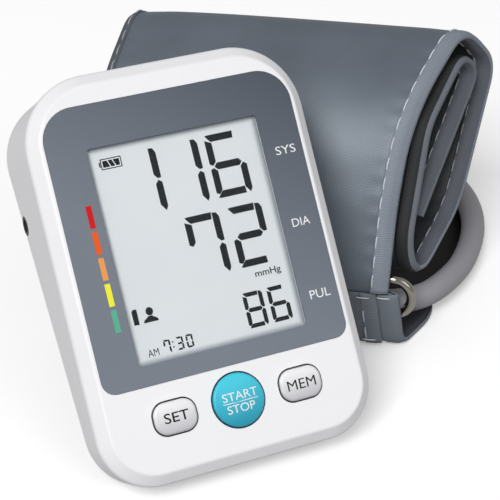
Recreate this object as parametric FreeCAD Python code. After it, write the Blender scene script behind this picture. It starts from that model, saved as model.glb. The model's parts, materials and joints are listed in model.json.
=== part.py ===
import FreeCAD, Part
import math
import os

# Upper-arm blood pressure monitor leaning on its rolled cuff, with hose and chrome ring.
# Millimetres, +Z up. The set stands on z = 0, with the origin under the middle of its footprint.

V = FreeCAD.Vector

# Case, measured along and across its sloping face
CASE_WIDTH = 103.0
FRONT_LAND = 34.3
FRONT_THICKNESS = 22.0
WEDGE_ANGLE = 10.0
WALL = 2.2
RIM_RADIUS = 6.0
RIM_BEVEL = 4.2
BEVEL_FRONT_ROUND = 1.5
BEVEL_SIDE_ROUND = 2.5
BASE_RADIUS = 5.0
FRONT_CORNER = 20.0
BACK_CORNER = 25.0
SEAM_DEPTH = 8.0
SEAM_STEP = 0.4
SEAM_GAP = 1.2
SEAM_GROOVE = 0.9
FIT = 0.3

# Grey panel and display window
PANEL_LENGTH = 98.8
PANEL_SIDE_GAP = 5.5
PANEL_BACK_GAP = 10.9
PANEL_THICKNESS = 1.4
PANEL_FRONT_CORNER = 5.0
PANEL_BACK_CORNER = 12.0
WINDOW_SHIFT = -0.15
WINDOW_SIDE_GAP = 14.3
WINDOW_BACK_GAP = 15.3
WINDOW_FRONT_GAP = 7.1
WINDOW_CORNER = 1.5
WINDOW_FIT = 0.1

# Display stack under the window
GLASS_EDGE = 2.2
GLASS_GAP = 0.2
GLASS_THICKNESS = 2.4
REFLECTOR_THICKNESS = 0.6
HOLDER_WALL = 2.0
HOLDER_LEDGE = 2.0
ZEBRA_WIDTH = 2.2
ZEBRA_INSET = 2.0

# Buttons
BUTTON_ROW_GAP = 12.2
BUTTON_PITCH = 23.6
BUTTON_TRAVEL = 1.0
BUTTON_FLANGE = 1.5
BUTTON_FLANGE_THICKNESS = 1.2
BUTTON_PLAY = 0.2
BUTTON_GAP = 0.45
START_DIAMETER = 18.8
START_PROUD = 2.0
START_ROUND = 0.8
START_CROWN = 0.9
SIDE_BUTTON_LENGTH = 15.4
SIDE_BUTTON_WIDTH = 11.2
SIDE_BUTTON_CORNER = 4.6
SIDE_BUTTON_PROUD = 1.9
SIDE_BUTTON_ROUND = 1.0
SIDE_BUTTON_CROWN = 0.5
STEM_RADIUS = 2.5

# Circuit board and what it carries
BOARD_DEPTH = 8.6
BOARD_THICKNESS = 1.6
BOARD_SIDE_GAP = 15.5
BOARD_FRONT_GAP = 9.7
BOARD_BACK_GAP = 16.3
SWITCH_SIDE = 6.0
SWITCH_HEIGHT = 2.4
PLUNGER_RADIUS = 1.7
PLUNGER_HEIGHT = 0.6
CHIP_WIDTH = 12.0
CHIP_THICKNESS = 1.6
SMALL_CHIP_WIDTH = 5.0
CHIP_PITCH = 14.0
BUZZER_RADIUS = 6.0
BUZZER_HEIGHT = 4.5
SENSOR_SIDE = 8.0
SENSOR_HEIGHT = 5.0
POST_RADIUS = 2.3
BOARD_SCREW_RADIUS = 0.9
BOARD_SCREW_HEAD = 2.0
BOARD_SCREW_HEAD_HEIGHT = 1.2

# Case screws and bosses
BOSS_INSET = 10.5
BOSS_BACK_INSET = 16.3
BOSS_FRONT_INSET = 13.7
BOSS_RADIUS = 3.5
BOSS_DEPTH = 12.0
SCREW_SEAT_DEPTH = 19.0
SCREW_RADIUS = 1.25
SCREW_LENGTH = 12.5
SCREW_HEAD_RADIUS = 2.8
SCREW_HEAD_HEIGHT = 2.0
SCREW_PLAY = 0.35

# Battery compartment, measured on the base
CELL_DIAMETER = 14.3
CELL_LENGTH = 50.5
CELL_NUB_RADIUS = 2.7
CELL_NUB_LENGTH = 1.0
CELL_PLAY = 0.5
CELL_COUNT = 4
CONTACT_SPACE = 3.2
CONTACT_SIDE = 9.0
CONTACT_THICKNESS = 0.4
CONTACT_BUMP_RADIUS = 2.4
TUB_SHIFT = 5.0
TUB_BACK_GAP = 13.3
TUB_WALL = 2.6
DOOR_LEDGE = 1.5
DOOR_THICKNESS = 2.0
DOOR_CORNER = 3.0
DOOR_TRAVEL = 12.0
DOOR_GRIP_RADIUS = 8.0
DOOR_GRIP_DEPTH = 1.0
FOOT_RADIUS = 4.0
FOOT_HEIGHT = 1.2
FOOT_SCREW_GAP = 17.0

# Air path
SOCKET_RADIUS = 3.5
SOCKET_BORE = 2.3
SOCKET_BORE_LENGTH = 11.0
SOCKET_LENGTH = 13.0
PORT_BACK_GAP = 45.0
PORT_RISE = 6.96
MANIFOLD_WIDTH = 9.0
MANIFOLD_LENGTH = 10.0
MANIFOLD_HEIGHT = 6.6
AIR_TUBE_RADIUS = 1.7
AIR_TUBE_BEND = 6.0
PUMP_FRONT_GAP = 48.5
PUMP_RISE = 10.5
PUMP_RADIUS = 7.0
PUMP_MOTOR_LENGTH = 34.0
PUMP_HEAD_LENGTH = 16.0
PUMP_HEAD_SIDE = 14.0
VALVE_SIDE = 11.0
VALVE_LENGTH = 12.0
VALVE_GAP = 5.0
RIB_THICKNESS = 3.0
JACK_BORE = 2.75
JACK_BORE_LENGTH = 9.0
JACK_RADIUS = 3.6
JACK_SIDE = 7.4
JACK_LENGTH = 12.5

# How the set stands: slope of the face, place and turn of the cuff on the table
FACE_TILT = 53.8
CUFF_SIDE_GAP = 33.5
CUFF_CORNER_Y = 34.0
CUFF_TURN = 33.8

# Rolled cuff: band of cloth with skewed ends, its roll drawn as a side view (depth, height)
CUFF_WIDTH = 125.0
CLOTH = 4.0
END_SKEW_BACK = 0.45
END_SKEW_UP = -0.145
ROLL_POINTS = [
    (0.5, 25.5),
    (12.3, 57.0),
    (28.5, 86.0),
    (66.0, 108.5),
    (85.0, 86.0),
    (50.0, 38.5),
    (17.0, 22.0),
    (14.5, 40.0),
    (35.5, 80.5),
    (63.0, 98.0),
    (73.0, 88.0),
    (24.0, 47.0),
]
ROLL_RADII = [60.0, 30.0, 12.0, 10.0, 40.0, 7.0, 22.0, 22.0, 7.0, 6.0]
FLAP_TOP = 24.6
FLAP_DEPTH = 30.0
FLAP_RADIUS = 4.5
TONGUE_THICKNESS = 2.4
TONGUE_RIGHT = [(8.0, 26.0), (10.0, 41.0), (13.5, 67.0)]
TONGUE_BACK = [(-4.0, 59.0), (-20.0, 50.0)]
TONGUE_DEPTH = 47.0
TONGUE_SIDE_GAP = 12.0
BLADDER_THICKNESS = 1.8
BLADDER_ROOM = 0.3
BLADDER_SIDE_GAP = 10.0
BLADDER_START = 0.35
BLADDER_END = 0.6

# Chrome ring in its sleeve
RING_ROD = 2.0
RING_HEIGHT = 15.4
RING_LEAN = 4.0
RING_DEPTH = 6.6
RING_BASE = 12.0
RING_OVERHANG = 4.8
SLEEVE_WALL = 2.0
SLEEVE_END_GAP = 1.0

# Hose: route in the cuff's frame (along the cuff, depth behind its front, height)
HOSE_RADIUS = 5.0
HOSE_REST = 6.1
HOSE_POINTS = [
    (-40.0, 16.5, 9.8),
    (-20.0, 16.7, 9.8),
    (-4.0, 18.2, 9.8),
    (7.0, 25.0, 9.6),
    (14.0, 37.0, 8.9),
    (19.5, 53.0, 7.0),
    (22.5, 71.0, HOSE_REST),
    (23.0, 90.0, HOSE_REST),
    (19.0, 109.0, HOSE_REST),
    (9.6, 126.5, HOSE_REST),
]
HOSE_ARC_SHARE = 0.45
COIL_RADIUS = 54.0
COIL_STEP = 6.0
COIL_HALF_TURNS = 2
COIL_TAIL_RADIUS = 30.0
COIL_TAIL_TURN = 120.0
FITTING_RADIUS = 4.5
FITTING_LENGTH = 18.0
FITTING_STUB_RADIUS = 3.0
FOLD_LEAN = 5.1
FOLD_LEVEL = 24.4
PLUG_BODY_RADIUS = 5.5
PLUG_BODY_LENGTH = 15.0
PLUG_NOSE_RADIUS = 2.2
PLUG_NOSE_LENGTH = 12.0
TIE_WIDTH = 6.0
TIE_THICKNESS = 0.8
TIE_ROOM = 0.3

# Places worked out from the sizes above. The face frame has its origin at the middle of the panel,
# X across the case, Y up the slope and Z out of the face.
HALF_WIDTH = CASE_WIDTH / 2
TAN_WEDGE = math.tan(math.radians(WEDGE_ANGLE))
CASE_LENGTH = PANEL_BACK_GAP + PANEL_LENGTH + FRONT_LAND
BASE_LENGTH = CASE_LENGTH / math.cos(math.radians(WEDGE_ANGLE))
PANEL_WIDTH = CASE_WIDTH - 2 * PANEL_SIDE_GAP
WINDOW_WIDTH = PANEL_WIDTH - 2 * WINDOW_SIDE_GAP
WINDOW_LENGTH = PANEL_LENGTH - WINDOW_BACK_GAP - WINDOW_FRONT_GAP
BOARD_HALF_WIDTH = HALF_WIDTH - BOARD_SIDE_GAP
CUFF_CORNER_X = HALF_WIDTH + CUFF_SIDE_GAP
CASE_BACK = PANEL_LENGTH / 2 + PANEL_BACK_GAP
CASE_FRONT = CASE_BACK - CASE_LENGTH
WINDOW_BACK = PANEL_LENGTH / 2 - WINDOW_BACK_GAP
WINDOW_MIDDLE = WINDOW_BACK - WINDOW_LENGTH / 2
BUTTON_ROW = -PANEL_LENGTH / 2 - BUTTON_ROW_GAP
BOARD_FRONT = CASE_FRONT + BOARD_FRONT_GAP
BOARD_BACK = CASE_BACK - BOARD_BACK_GAP
BOARD_UNDER = BOARD_DEPTH + BOARD_THICKNESS
GLASS_TOP = WALL + GLASS_GAP
GLASS_UNDER = GLASS_TOP + GLASS_THICKNESS
REFLECTOR_UNDER = GLASS_UNDER + REFLECTOR_THICKNESS
DEEP = FRONT_THICKNESS + CASE_LENGTH
TUB_HALF_WIDTH = CELL_COUNT * (CELL_DIAMETER + CELL_PLAY) / 2
TUB_LENGTH = CELL_LENGTH + 2 * CONTACT_SPACE
TUB_ROOF = DOOR_THICKNESS + CELL_PLAY + CELL_DIAMETER + CELL_PLAY
TUB_FRONT = BASE_LENGTH - TUB_BACK_GAP - TUB_LENGTH
PORT_PLACE = CASE_BACK - PORT_BACK_GAP
PORT_DEPTH = FRONT_THICKNESS + (PORT_PLACE - CASE_FRONT) * TAN_WEDGE - PORT_RISE
PUMP_PLACE = CASE_FRONT + PUMP_FRONT_GAP
PUMP_DEPTH = FRONT_THICKNESS + PUMP_FRONT_GAP * TAN_WEDGE - PUMP_RISE
WALL_OUT = HALF_WIDTH - SEAM_STEP
CELL_LEVEL = DOOR_THICKNESS + CELL_PLAY + CELL_DIAMETER / 2
AIR_LINE = -WALL_OUT + SOCKET_LENGTH + MANIFOLD_WIDTH / 2
PUMP_MIDDLE = AIR_LINE + PUMP_HEAD_LENGTH / 2 + PUMP_MOTOR_LENGTH / 2
VALVE_FRONT = PORT_PLACE + MANIFOLD_LENGTH / 2 + VALVE_GAP
VALVE_LOW = -PORT_DEPTH - VALVE_SIDE / 2
PORT_INSIDE_LEFT = V(-WALL_OUT + 2 * WALL, PORT_PLACE, -PORT_DEPTH)
PORT_INSIDE_RIGHT = V(WALL_OUT - 2 * WALL, PORT_PLACE, -PORT_DEPTH)
BOSS_PLACES = [
    (side * (HALF_WIDTH - BOSS_INSET), place)
    for side in (-1, 1)
    for place in (CASE_FRONT + BOSS_FRONT_INSET, CASE_BACK - BOSS_BACK_INSET)
]
POST_PLACES = [
    (side * (BOARD_HALF_WIDTH - POST_RADIUS - 0.5), place)
    for side in (-1, 1)
    for place in (BOARD_BACK - POST_RADIUS - 0.2, (BUTTON_ROW + WINDOW_BACK - WINDOW_LENGTH) / 2)
]


def base_level(place):
    """Height of the outside of the base under a place along the face."""
    return -FRONT_THICKNESS - (place - CASE_FRONT) * TAN_WEDGE


def box(left, right, front, back, low, high):
    return Part.makeBox(right - left, back - front, high - low, V(left, front, low))


def rod(radius, start, end):
    """Round bar from one point to another."""
    run = end.sub(start)
    return Part.makeCylinder(radius, run.Length, start, run)


def rounded_plate(left, right, front, back, front_radius, back_radius, low, high):
    """Plate with round corners, the front pair and the back pair each with their own radius."""
    corners = [
        (right - front_radius, front + front_radius, front_radius, -90.0),
        (right - back_radius, back - back_radius, back_radius, 0.0),
        (left + back_radius, back - back_radius, back_radius, 90.0),
        (left + front_radius, front + front_radius, front_radius, 180.0),
    ]
    edges = []
    ends = []
    for x, y, radius, start in corners:
        points = []
        for turn in (0.0, 45.0, 90.0):
            angle = math.radians(start + turn)
            points.append(V(x + radius * math.cos(angle), y + radius * math.sin(angle), low))
        edges.append(Part.Arc(points[0], points[1], points[2]).toShape())
        ends.append((points[0], points[2]))
    for index in range(4):
        begin = ends[index][1]
        finish = ends[(index + 1) % 4][0]
        if begin.distanceToPoint(finish) > 1e-6:
            edges.append(Part.makeLine(begin, finish))
    wire = Part.Wire(Part.__sortEdges__(edges))
    return Part.Face(wire).extrude(V(0, 0, high - low))


def case_plate(inset, low, high):
    """Outline of the case, drawn in by an inset, between two levels."""
    return rounded_plate(
        -HALF_WIDTH + inset,
        HALF_WIDTH - inset,
        CASE_FRONT + inset,
        CASE_BACK - inset,
        FRONT_CORNER - inset,
        BACK_CORNER - inset,
        low,
        high,
    )


def flat_edges(shape, origin, normal):
    """Every edge of a solid that lies in one plane."""
    chosen = []
    for edge in shape.Edges:
        middle = edge.valueAt((edge.FirstParameter + edge.LastParameter) / 2)
        points = [vertex.Point for vertex in edge.Vertexes] + [middle]
        if all(abs(point.sub(origin).dot(normal)) < 1e-4 for point in points):
            chosen.append(edge)
    return chosen


def round_flat_edge(shape, origin, normal, radius):
    """Round every edge of a solid that lies in one plane."""
    return shape.makeFillet(radius, flat_edges(shape, origin, normal))


def on_base(shape):
    """Move a shape drawn on the base (Y back along it, Z into the case) to the face frame."""
    moved = shape.copy()
    turn = FreeCAD.Rotation(V(1, 0, 0), -WEDGE_ANGLE)
    moved.Placement = FreeCAD.Placement(V(0, CASE_FRONT, -FRONT_THICKNESS), turn).multiply(moved.Placement)
    return moved


def below_base(height):
    """Everything under a plane at a height above the base."""
    reach = 4 * CASE_LENGTH
    return on_base(box(-reach, reach, -reach, reach, -reach, height))


def wedge_body(inset, floor_height, radius):
    """Lower part of the case as a solid, from the seam down to the base."""
    body = case_plate(inset, -DEEP, -SEAM_DEPTH).cut(below_base(floor_height))
    turn = FreeCAD.Rotation(V(1, 0, 0), -WEDGE_ANGLE)
    normal = turn.multVec(V(0, 0, 1))
    origin = V(0, CASE_FRONT, -FRONT_THICKNESS).add(normal.multiply(floor_height))
    return round_flat_edge(body, origin, turn.multVec(V(0, 0, 1)), radius)


def window_plate(grow, corner, low, high):
    """Plate of the window's size, grown on every side."""
    return rounded_plate(
        WINDOW_SHIFT - WINDOW_WIDTH / 2 - grow,
        WINDOW_SHIFT + WINDOW_WIDTH / 2 + grow,
        WINDOW_MIDDLE - WINDOW_LENGTH / 2 - grow,
        WINDOW_MIDDLE + WINDOW_LENGTH / 2 + grow,
        corner,
        corner,
        low,
        high,
    )


def panel_plate(grow, low, high):
    return rounded_plate(
        -PANEL_WIDTH / 2 - grow,
        PANEL_WIDTH / 2 + grow,
        -PANEL_LENGTH / 2 - grow,
        PANEL_LENGTH / 2 + grow,
        PANEL_FRONT_CORNER + grow,
        PANEL_BACK_CORNER + grow,
        low,
        high,
    )


def button_blank(kind, grow, low, high):
    """Outline of a button, grown on every side, between two levels."""
    if kind == "start":
        return Part.makeCylinder(START_DIAMETER / 2 + grow, high - low, V(0, BUTTON_ROW, low))
    middle = -BUTTON_PITCH if kind == "set" else BUTTON_PITCH
    return rounded_plate(
        middle - SIDE_BUTTON_LENGTH / 2 - grow,
        middle + SIDE_BUTTON_LENGTH / 2 + grow,
        BUTTON_ROW - SIDE_BUTTON_WIDTH / 2 - grow,
        BUTTON_ROW + SIDE_BUTTON_WIDTH / 2 + grow,
        SIDE_BUTTON_CORNER + grow,
        SIDE_BUTTON_CORNER + grow,
        low,
        high,
    )


def crown_edges(cap, middle):
    """Edges round the domed top of a button's cap, which stand over the face and away from its middle."""
    chosen = []
    for edge in cap.Edges:
        spot = edge.valueAt((edge.FirstParameter + edge.LastParameter) / 2)
        away = math.hypot(spot.x - middle.x, spot.y - middle.y)
        if spot.z > 0 and away > SIDE_BUTTON_WIDTH * 3 / 8:
            chosen.append(edge)
    return chosen


def make_button(kind):
    """Cap with a crowned edge, a flange that keeps it in the case and a stem over its switch."""
    middle = {"start": 0.0, "set": -BUTTON_PITCH, "memory": BUTTON_PITCH}[kind]
    reach = SIDE_BUTTON_LENGTH / 2
    proud = SIDE_BUTTON_PROUD
    crown = SIDE_BUTTON_CROWN
    edge_round = SIDE_BUTTON_ROUND
    if kind == "start":
        reach = START_DIAMETER / 2
        proud = START_PROUD
        crown = START_CROWN
        edge_round = START_ROUND
    flange_top = -WALL - BUTTON_PLAY
    flange_under = flange_top - BUTTON_FLANGE_THICKNESS
    stem_under = -BOARD_DEPTH + SWITCH_HEIGHT + PLUNGER_HEIGHT + BUTTON_TRAVEL + BUTTON_PLAY
    cap = button_blank(kind, 0.0, flange_top, proud)
    dome_radius = (reach ** 2 + crown ** 2) / (2 * crown)
    cap = cap.common(Part.makeSphere(dome_radius, V(middle, BUTTON_ROW, proud - dome_radius), V(1, 0, 0)))
    cap = cap.makeFillet(edge_round, crown_edges(cap, V(middle, BUTTON_ROW, 0)))
    flange = button_blank(kind, BUTTON_FLANGE, flange_under, flange_top)
    solid = cap.fuse(flange)
    if stem_under < flange_under:
        stem = Part.makeCylinder(STEM_RADIUS, flange_under - stem_under, V(middle, BUTTON_ROW, stem_under))
        solid = solid.fuse(stem)
    return solid.removeSplitter()


def make_top_housing():
    outer = case_plate(0.0, -SEAM_DEPTH + SEAM_GAP, 0.0)
    outer = outer.makeChamfer(RIM_BEVEL, flat_edges(outer, V(0, 0, 0), V(0, 0, 1)))
    outer = round_flat_edge(outer, V(0, 0, 0), V(0, 0, 1), BEVEL_FRONT_ROUND)
    outer = round_flat_edge(outer, V(0, 0, -RIM_BEVEL), V(0, 0, 1), BEVEL_SIDE_ROUND)
    outer = outer.fuse(case_plate(SEAM_GROOVE, -SEAM_DEPTH, -SEAM_DEPTH + SEAM_GAP))
    inner = case_plate(WALL, -SEAM_DEPTH, -WALL)
    inner = round_flat_edge(inner, V(0, 0, -WALL), V(0, 0, 1), RIM_RADIUS - WALL)
    shell = outer.cut(inner)
    sink = WALL / 4
    bosses = [rod(BOSS_RADIUS, V(x, y, -BOSS_DEPTH), V(x, y, -WALL + sink)) for x, y in BOSS_PLACES]
    posts = [rod(POST_RADIUS, V(x, y, -BOARD_DEPTH), V(x, y, -WALL + sink)) for x, y in POST_PLACES]
    shell = shell.multiFuse(bosses + posts)
    holes = [panel_plate(WINDOW_FIT, -PANEL_THICKNESS, RIM_RADIUS)]
    holes.append(window_plate(GLASS_GAP, WINDOW_CORNER, -SEAM_DEPTH, RIM_RADIUS))
    for kind in ("start", "set", "memory"):
        holes.append(button_blank(kind, BUTTON_GAP, -SEAM_DEPTH, RIM_RADIUS))
    for x, y in BOSS_PLACES:
        tip = -SCREW_SEAT_DEPTH + SCREW_LENGTH + SCREW_PLAY
        holes.append(rod(SCREW_RADIUS + SCREW_PLAY / 4, V(x, y, -BOSS_DEPTH - WALL), V(x, y, tip)))
    for x, y in POST_PLACES:
        holes.append(rod(BOARD_SCREW_RADIUS, V(x, y, -BOARD_DEPTH - WALL), V(x, y, -WALL)))
    return shell.cut(holes).removeSplitter()


def tub_box(grow, low, high):
    """Battery compartment on the base, grown on every side."""
    return on_base(
        box(
            TUB_SHIFT - TUB_HALF_WIDTH - grow,
            TUB_SHIFT + TUB_HALF_WIDTH + grow,
            TUB_FRONT - grow,
            TUB_FRONT + TUB_LENGTH + grow,
            low,
            high,
        )
    )


def make_bottom_housing():
    outer = wedge_body(SEAM_STEP, 0.0, BASE_RADIUS)
    inner = wedge_body(SEAM_STEP + WALL, WALL, BASE_RADIUS - WALL)
    shell = outer.cut(inner)
    adds = [rod(BOSS_RADIUS + SCREW_PLAY, V(x, y, -DEEP), V(x, y, -BOSS_DEPTH)) for x, y in BOSS_PLACES]
    adds.append(tub_box(TUB_WALL, 0.0, TUB_ROOF + TUB_WALL))
    for x in (PUMP_MIDDLE - PUMP_MOTOR_LENGTH / 3, PUMP_MIDDLE + PUMP_MOTOR_LENGTH / 3):
        top = -PUMP_DEPTH - PUMP_RADIUS
        adds.append(box(x, x + RIB_THICKNESS, PUMP_PLACE - PUMP_RADIUS, PUMP_PLACE + PUMP_RADIUS, -DEEP, top))
    for y in (VALVE_FRONT + RIB_THICKNESS, VALVE_FRONT + VALVE_LENGTH - 2 * RIB_THICKNESS):
        left = AIR_LINE - VALVE_SIDE / 2
        adds.append(box(left, left + VALVE_SIDE, y, y + RIB_THICKNESS, -DEEP, VALVE_LOW))
    adds = [add.common(outer) for add in adds]
    shell = shell.multiFuse(adds)
    holes = [tub_box(0.0, -FOOT_HEIGHT, TUB_ROOF)]
    holes.append(tub_box(DOOR_LEDGE, -FOOT_HEIGHT, DOOR_THICKNESS + BUTTON_PLAY))
    for x, y in BOSS_PLACES:
        holes.append(rod(SCREW_RADIUS + SCREW_PLAY, V(x, y, -DEEP), V(x, y, 0)))
        holes.append(rod(SCREW_HEAD_RADIUS + SCREW_PLAY, V(x, y, -DEEP), V(x, y, -SCREW_SEAT_DEPTH)))
    holes.append(rod(SOCKET_RADIUS + WINDOW_FIT, V(-CASE_WIDTH, PORT_PLACE, -PORT_DEPTH), PORT_INSIDE_LEFT))
    holes.append(rod(JACK_RADIUS + WINDOW_FIT, V(CASE_WIDTH, PORT_PLACE, -PORT_DEPTH), PORT_INSIDE_RIGHT))
    return shell.cut(holes).removeSplitter()


def make_front_panel():
    panel = panel_plate(0.0, -PANEL_THICKNESS, 0.0)
    return panel.cut(window_plate(WINDOW_FIT, WINDOW_CORNER + WINDOW_FIT, -SEAM_DEPTH, RIM_RADIUS))


def make_lcd_holder():
    """Frame between the face and the board, with a ledge that the glass and reflector lie on."""
    outer = window_plate(GLASS_EDGE + HOLDER_WALL, WINDOW_CORNER, -BOARD_DEPTH, -WALL)
    pocket = window_plate(GLASS_EDGE + WINDOW_FIT, WINDOW_CORNER, -REFLECTOR_UNDER, 0.0)
    well = window_plate(GLASS_EDGE - HOLDER_LEDGE, WINDOW_CORNER, -SEAM_DEPTH - WALL, 0.0)
    return outer.cut([pocket, well])


def make_zebra_strips():
    strips = []
    for side in (-1, 1):
        middle = WINDOW_MIDDLE + side * (WINDOW_LENGTH / 2 - ZEBRA_INSET)
        left = WINDOW_SHIFT - WINDOW_WIDTH / 2 + ZEBRA_INSET
        right = WINDOW_SHIFT + WINDOW_WIDTH / 2 - ZEBRA_INSET
        front = middle - ZEBRA_WIDTH / 2
        strips.append(box(left, right, front, front + ZEBRA_WIDTH, -BOARD_DEPTH, -GLASS_UNDER))
    return Part.makeCompound(strips)


def make_reflector():
    room = ZEBRA_INSET + ZEBRA_WIDTH
    return box(
        WINDOW_SHIFT - WINDOW_WIDTH / 2 - GLASS_EDGE + WINDOW_FIT,
        WINDOW_SHIFT + WINDOW_WIDTH / 2 + GLASS_EDGE - WINDOW_FIT,
        WINDOW_MIDDLE - WINDOW_LENGTH / 2 + room,
        WINDOW_MIDDLE + WINDOW_LENGTH / 2 - room,
        -REFLECTOR_UNDER,
        -GLASS_UNDER,
    )


def make_board():
    board = box(-BOARD_HALF_WIDTH, BOARD_HALF_WIDTH, BOARD_FRONT, BOARD_BACK, -BOARD_UNDER, -BOARD_DEPTH)
    holes = [
        rod(BOARD_SCREW_RADIUS + WINDOW_FIT, V(x, y, -2 * BOARD_UNDER), V(x, y, 0)) for x, y in POST_PLACES
    ]
    return board.cut(holes)


def make_board_screws():
    screws = []
    for x, y in POST_PLACES:
        head_top = -BOARD_UNDER
        head = rod(BOARD_SCREW_HEAD, V(x, y, head_top - BOARD_SCREW_HEAD_HEIGHT), V(x, y, head_top))
        tip = (-BOARD_DEPTH - WALL) / 2
        shank = rod(BOARD_SCREW_RADIUS - WINDOW_FIT / 2, V(x, y, head_top), V(x, y, tip))
        screws.append(head.fuse(shank).removeSplitter())
    return Part.makeCompound(screws)


def make_tact_switches():
    switches = []
    for x in (-BUTTON_PITCH, 0.0, BUTTON_PITCH):
        half = SWITCH_SIDE / 2
        top = -BOARD_DEPTH + SWITCH_HEIGHT
        body = box(x - half, x + half, BUTTON_ROW - half, BUTTON_ROW + half, -BOARD_DEPTH, top)
        plunger = rod(PLUNGER_RADIUS, V(x, BUTTON_ROW, top), V(x, BUTTON_ROW, top + PLUNGER_HEIGHT))
        switches.append(body.fuse(plunger).removeSplitter())
    return Part.makeCompound(switches)


def make_control_chips():
    chips = []
    for index, side in enumerate((CHIP_WIDTH, SMALL_CHIP_WIDTH, SMALL_CHIP_WIDTH)):
        x = index * CHIP_PITCH - CHIP_PITCH / 2
        low = -BOARD_UNDER - CHIP_THICKNESS
        chips.append(box(x, x + side, -side / 2, side / 2, low, -BOARD_UNDER))
    return Part.makeCompound(chips)


def make_buzzer():
    place = V(BUTTON_PITCH - BUZZER_RADIUS, BUTTON_ROW, -BOARD_UNDER)
    return rod(BUZZER_RADIUS, place, place.add(V(0, 0, -BUZZER_HEIGHT)))


def make_pressure_sensor():
    half = SENSOR_SIDE / 2
    low = -BOARD_UNDER - SENSOR_HEIGHT
    body = box(AIR_LINE - half, AIR_LINE + half, PORT_PLACE - half, PORT_PLACE + half, low, -BOARD_UNDER)
    return body


def make_pump_motor():
    start = V(PUMP_MIDDLE - PUMP_MOTOR_LENGTH / 2, PUMP_PLACE, -PUMP_DEPTH)
    end = V(PUMP_MIDDLE + PUMP_MOTOR_LENGTH / 2, PUMP_PLACE, -PUMP_DEPTH)
    can = rod(PUMP_RADIUS, start, end)
    shaft_boss = rod(PUMP_RADIUS / 3, end, end.add(V(WALL, 0, 0)))
    return can.fuse(shaft_boss).removeSplitter()


def make_pump_head():
    half = PUMP_HEAD_SIDE / 2
    right = PUMP_MIDDLE - PUMP_MOTOR_LENGTH / 2
    left = right - PUMP_HEAD_LENGTH
    low = -PUMP_DEPTH - half
    return box(left, right, PUMP_PLACE - half, PUMP_PLACE + half, low, low + PUMP_HEAD_SIDE)


def make_air_manifold():
    left = -WALL_OUT + SOCKET_LENGTH
    front = PORT_PLACE - MANIFOLD_LENGTH / 2
    low = -PORT_DEPTH - MANIFOLD_HEIGHT / 2
    return box(left, left + MANIFOLD_WIDTH, front, front + MANIFOLD_LENGTH, low, low + MANIFOLD_HEIGHT)


def make_exhaust_valve():
    left = AIR_LINE - VALVE_SIDE / 2
    back = VALVE_FRONT + VALVE_LENGTH
    return box(left, left + VALVE_SIDE, VALVE_FRONT, back, VALVE_LOW, VALVE_LOW + VALVE_SIDE)


def bent_path(points, radii):
    """Straight runs joined by tangent arcs: (start, middle, end, three tangents) for each piece."""
    pieces = []
    last = points[0]
    for index, radius in enumerate(radii):
        corner = points[index + 1]
        into = corner.sub(points[index]).normalize()
        away = points[index + 2].sub(corner).normalize()
        turn = into.getAngle(away)
        reach = radius * math.tan(turn / 2)
        start = corner.sub(V(into).multiply(reach))
        end = corner.add(V(away).multiply(reach))
        inward = V(away).sub(into).normalize()
        centre = corner.add(V(inward).multiply(radius / math.cos(turn / 2)))
        middle = centre.sub(V(inward).multiply(radius))
        along = V(into).add(away).normalize()
        pieces.append((last, None, start, into, into, into))
        pieces.append((start, middle, end, into, along, away))
        last = end
    away = points[-1].sub(points[-2]).normalize()
    pieces.append((last, None, points[-1], away, away, away))
    return pieces


def path_edges(pieces):
    edges = []
    for start, middle, end, _, _, _ in pieces:
        if middle is None:
            edges.append(Part.LineSegment(start, end).toShape())
        else:
            edges.append(Part.Arc(start, middle, end).toShape())
    return edges


def tube(edges, radius):
    """Round tube along connected edges."""
    wire = Part.Wire(edges)
    start = edges[0].valueAt(edges[0].FirstParameter)
    along = edges[0].tangentAt(edges[0].FirstParameter)
    ring = Part.Wire(Part.makeCircle(radius, start, along))
    return wire.makePipeShell([ring], True, False)


def make_air_tubes():
    """Soft tubes from the pump, to the valve and up to the pressure sensor."""
    pump_end = V(AIR_LINE, PUMP_PLACE + PUMP_HEAD_SIDE / 2, -PUMP_DEPTH)
    manifold_front = V(AIR_LINE, PORT_PLACE - MANIFOLD_LENGTH / 2, -PORT_DEPTH)
    reach = (manifold_front.y - pump_end.y) / 3
    points = [pump_end, pump_end.add(V(0, reach, 0)), manifold_front.add(V(0, -reach, 0)), manifold_front]
    pump_tube = tube(path_edges(bent_path(points, [AIR_TUBE_BEND, AIR_TUBE_BEND])), AIR_TUBE_RADIUS)
    manifold_back = V(AIR_LINE, PORT_PLACE + MANIFOLD_LENGTH / 2, -PORT_DEPTH)
    valve_tube = rod(AIR_TUBE_RADIUS, manifold_back, V(AIR_LINE, VALVE_FRONT, -PORT_DEPTH))
    manifold_top = V(AIR_LINE, PORT_PLACE, -PORT_DEPTH + MANIFOLD_HEIGHT / 2)
    sensor_under = V(AIR_LINE, PORT_PLACE, -BOARD_UNDER - SENSOR_HEIGHT)
    sensor_tube = rod(AIR_TUBE_RADIUS, manifold_top, sensor_under)
    return Part.makeCompound([pump_tube, valve_tube, sensor_tube])


def make_air_socket():
    mouth = V(-WALL_OUT, PORT_PLACE, -PORT_DEPTH)
    inner = V(SOCKET_LENGTH, 0, 0)
    barrel = rod(SOCKET_RADIUS, mouth, mouth.add(inner))
    return barrel.cut(rod(SOCKET_BORE, mouth, mouth.add(V(SOCKET_BORE_LENGTH, 0, 0))))


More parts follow.
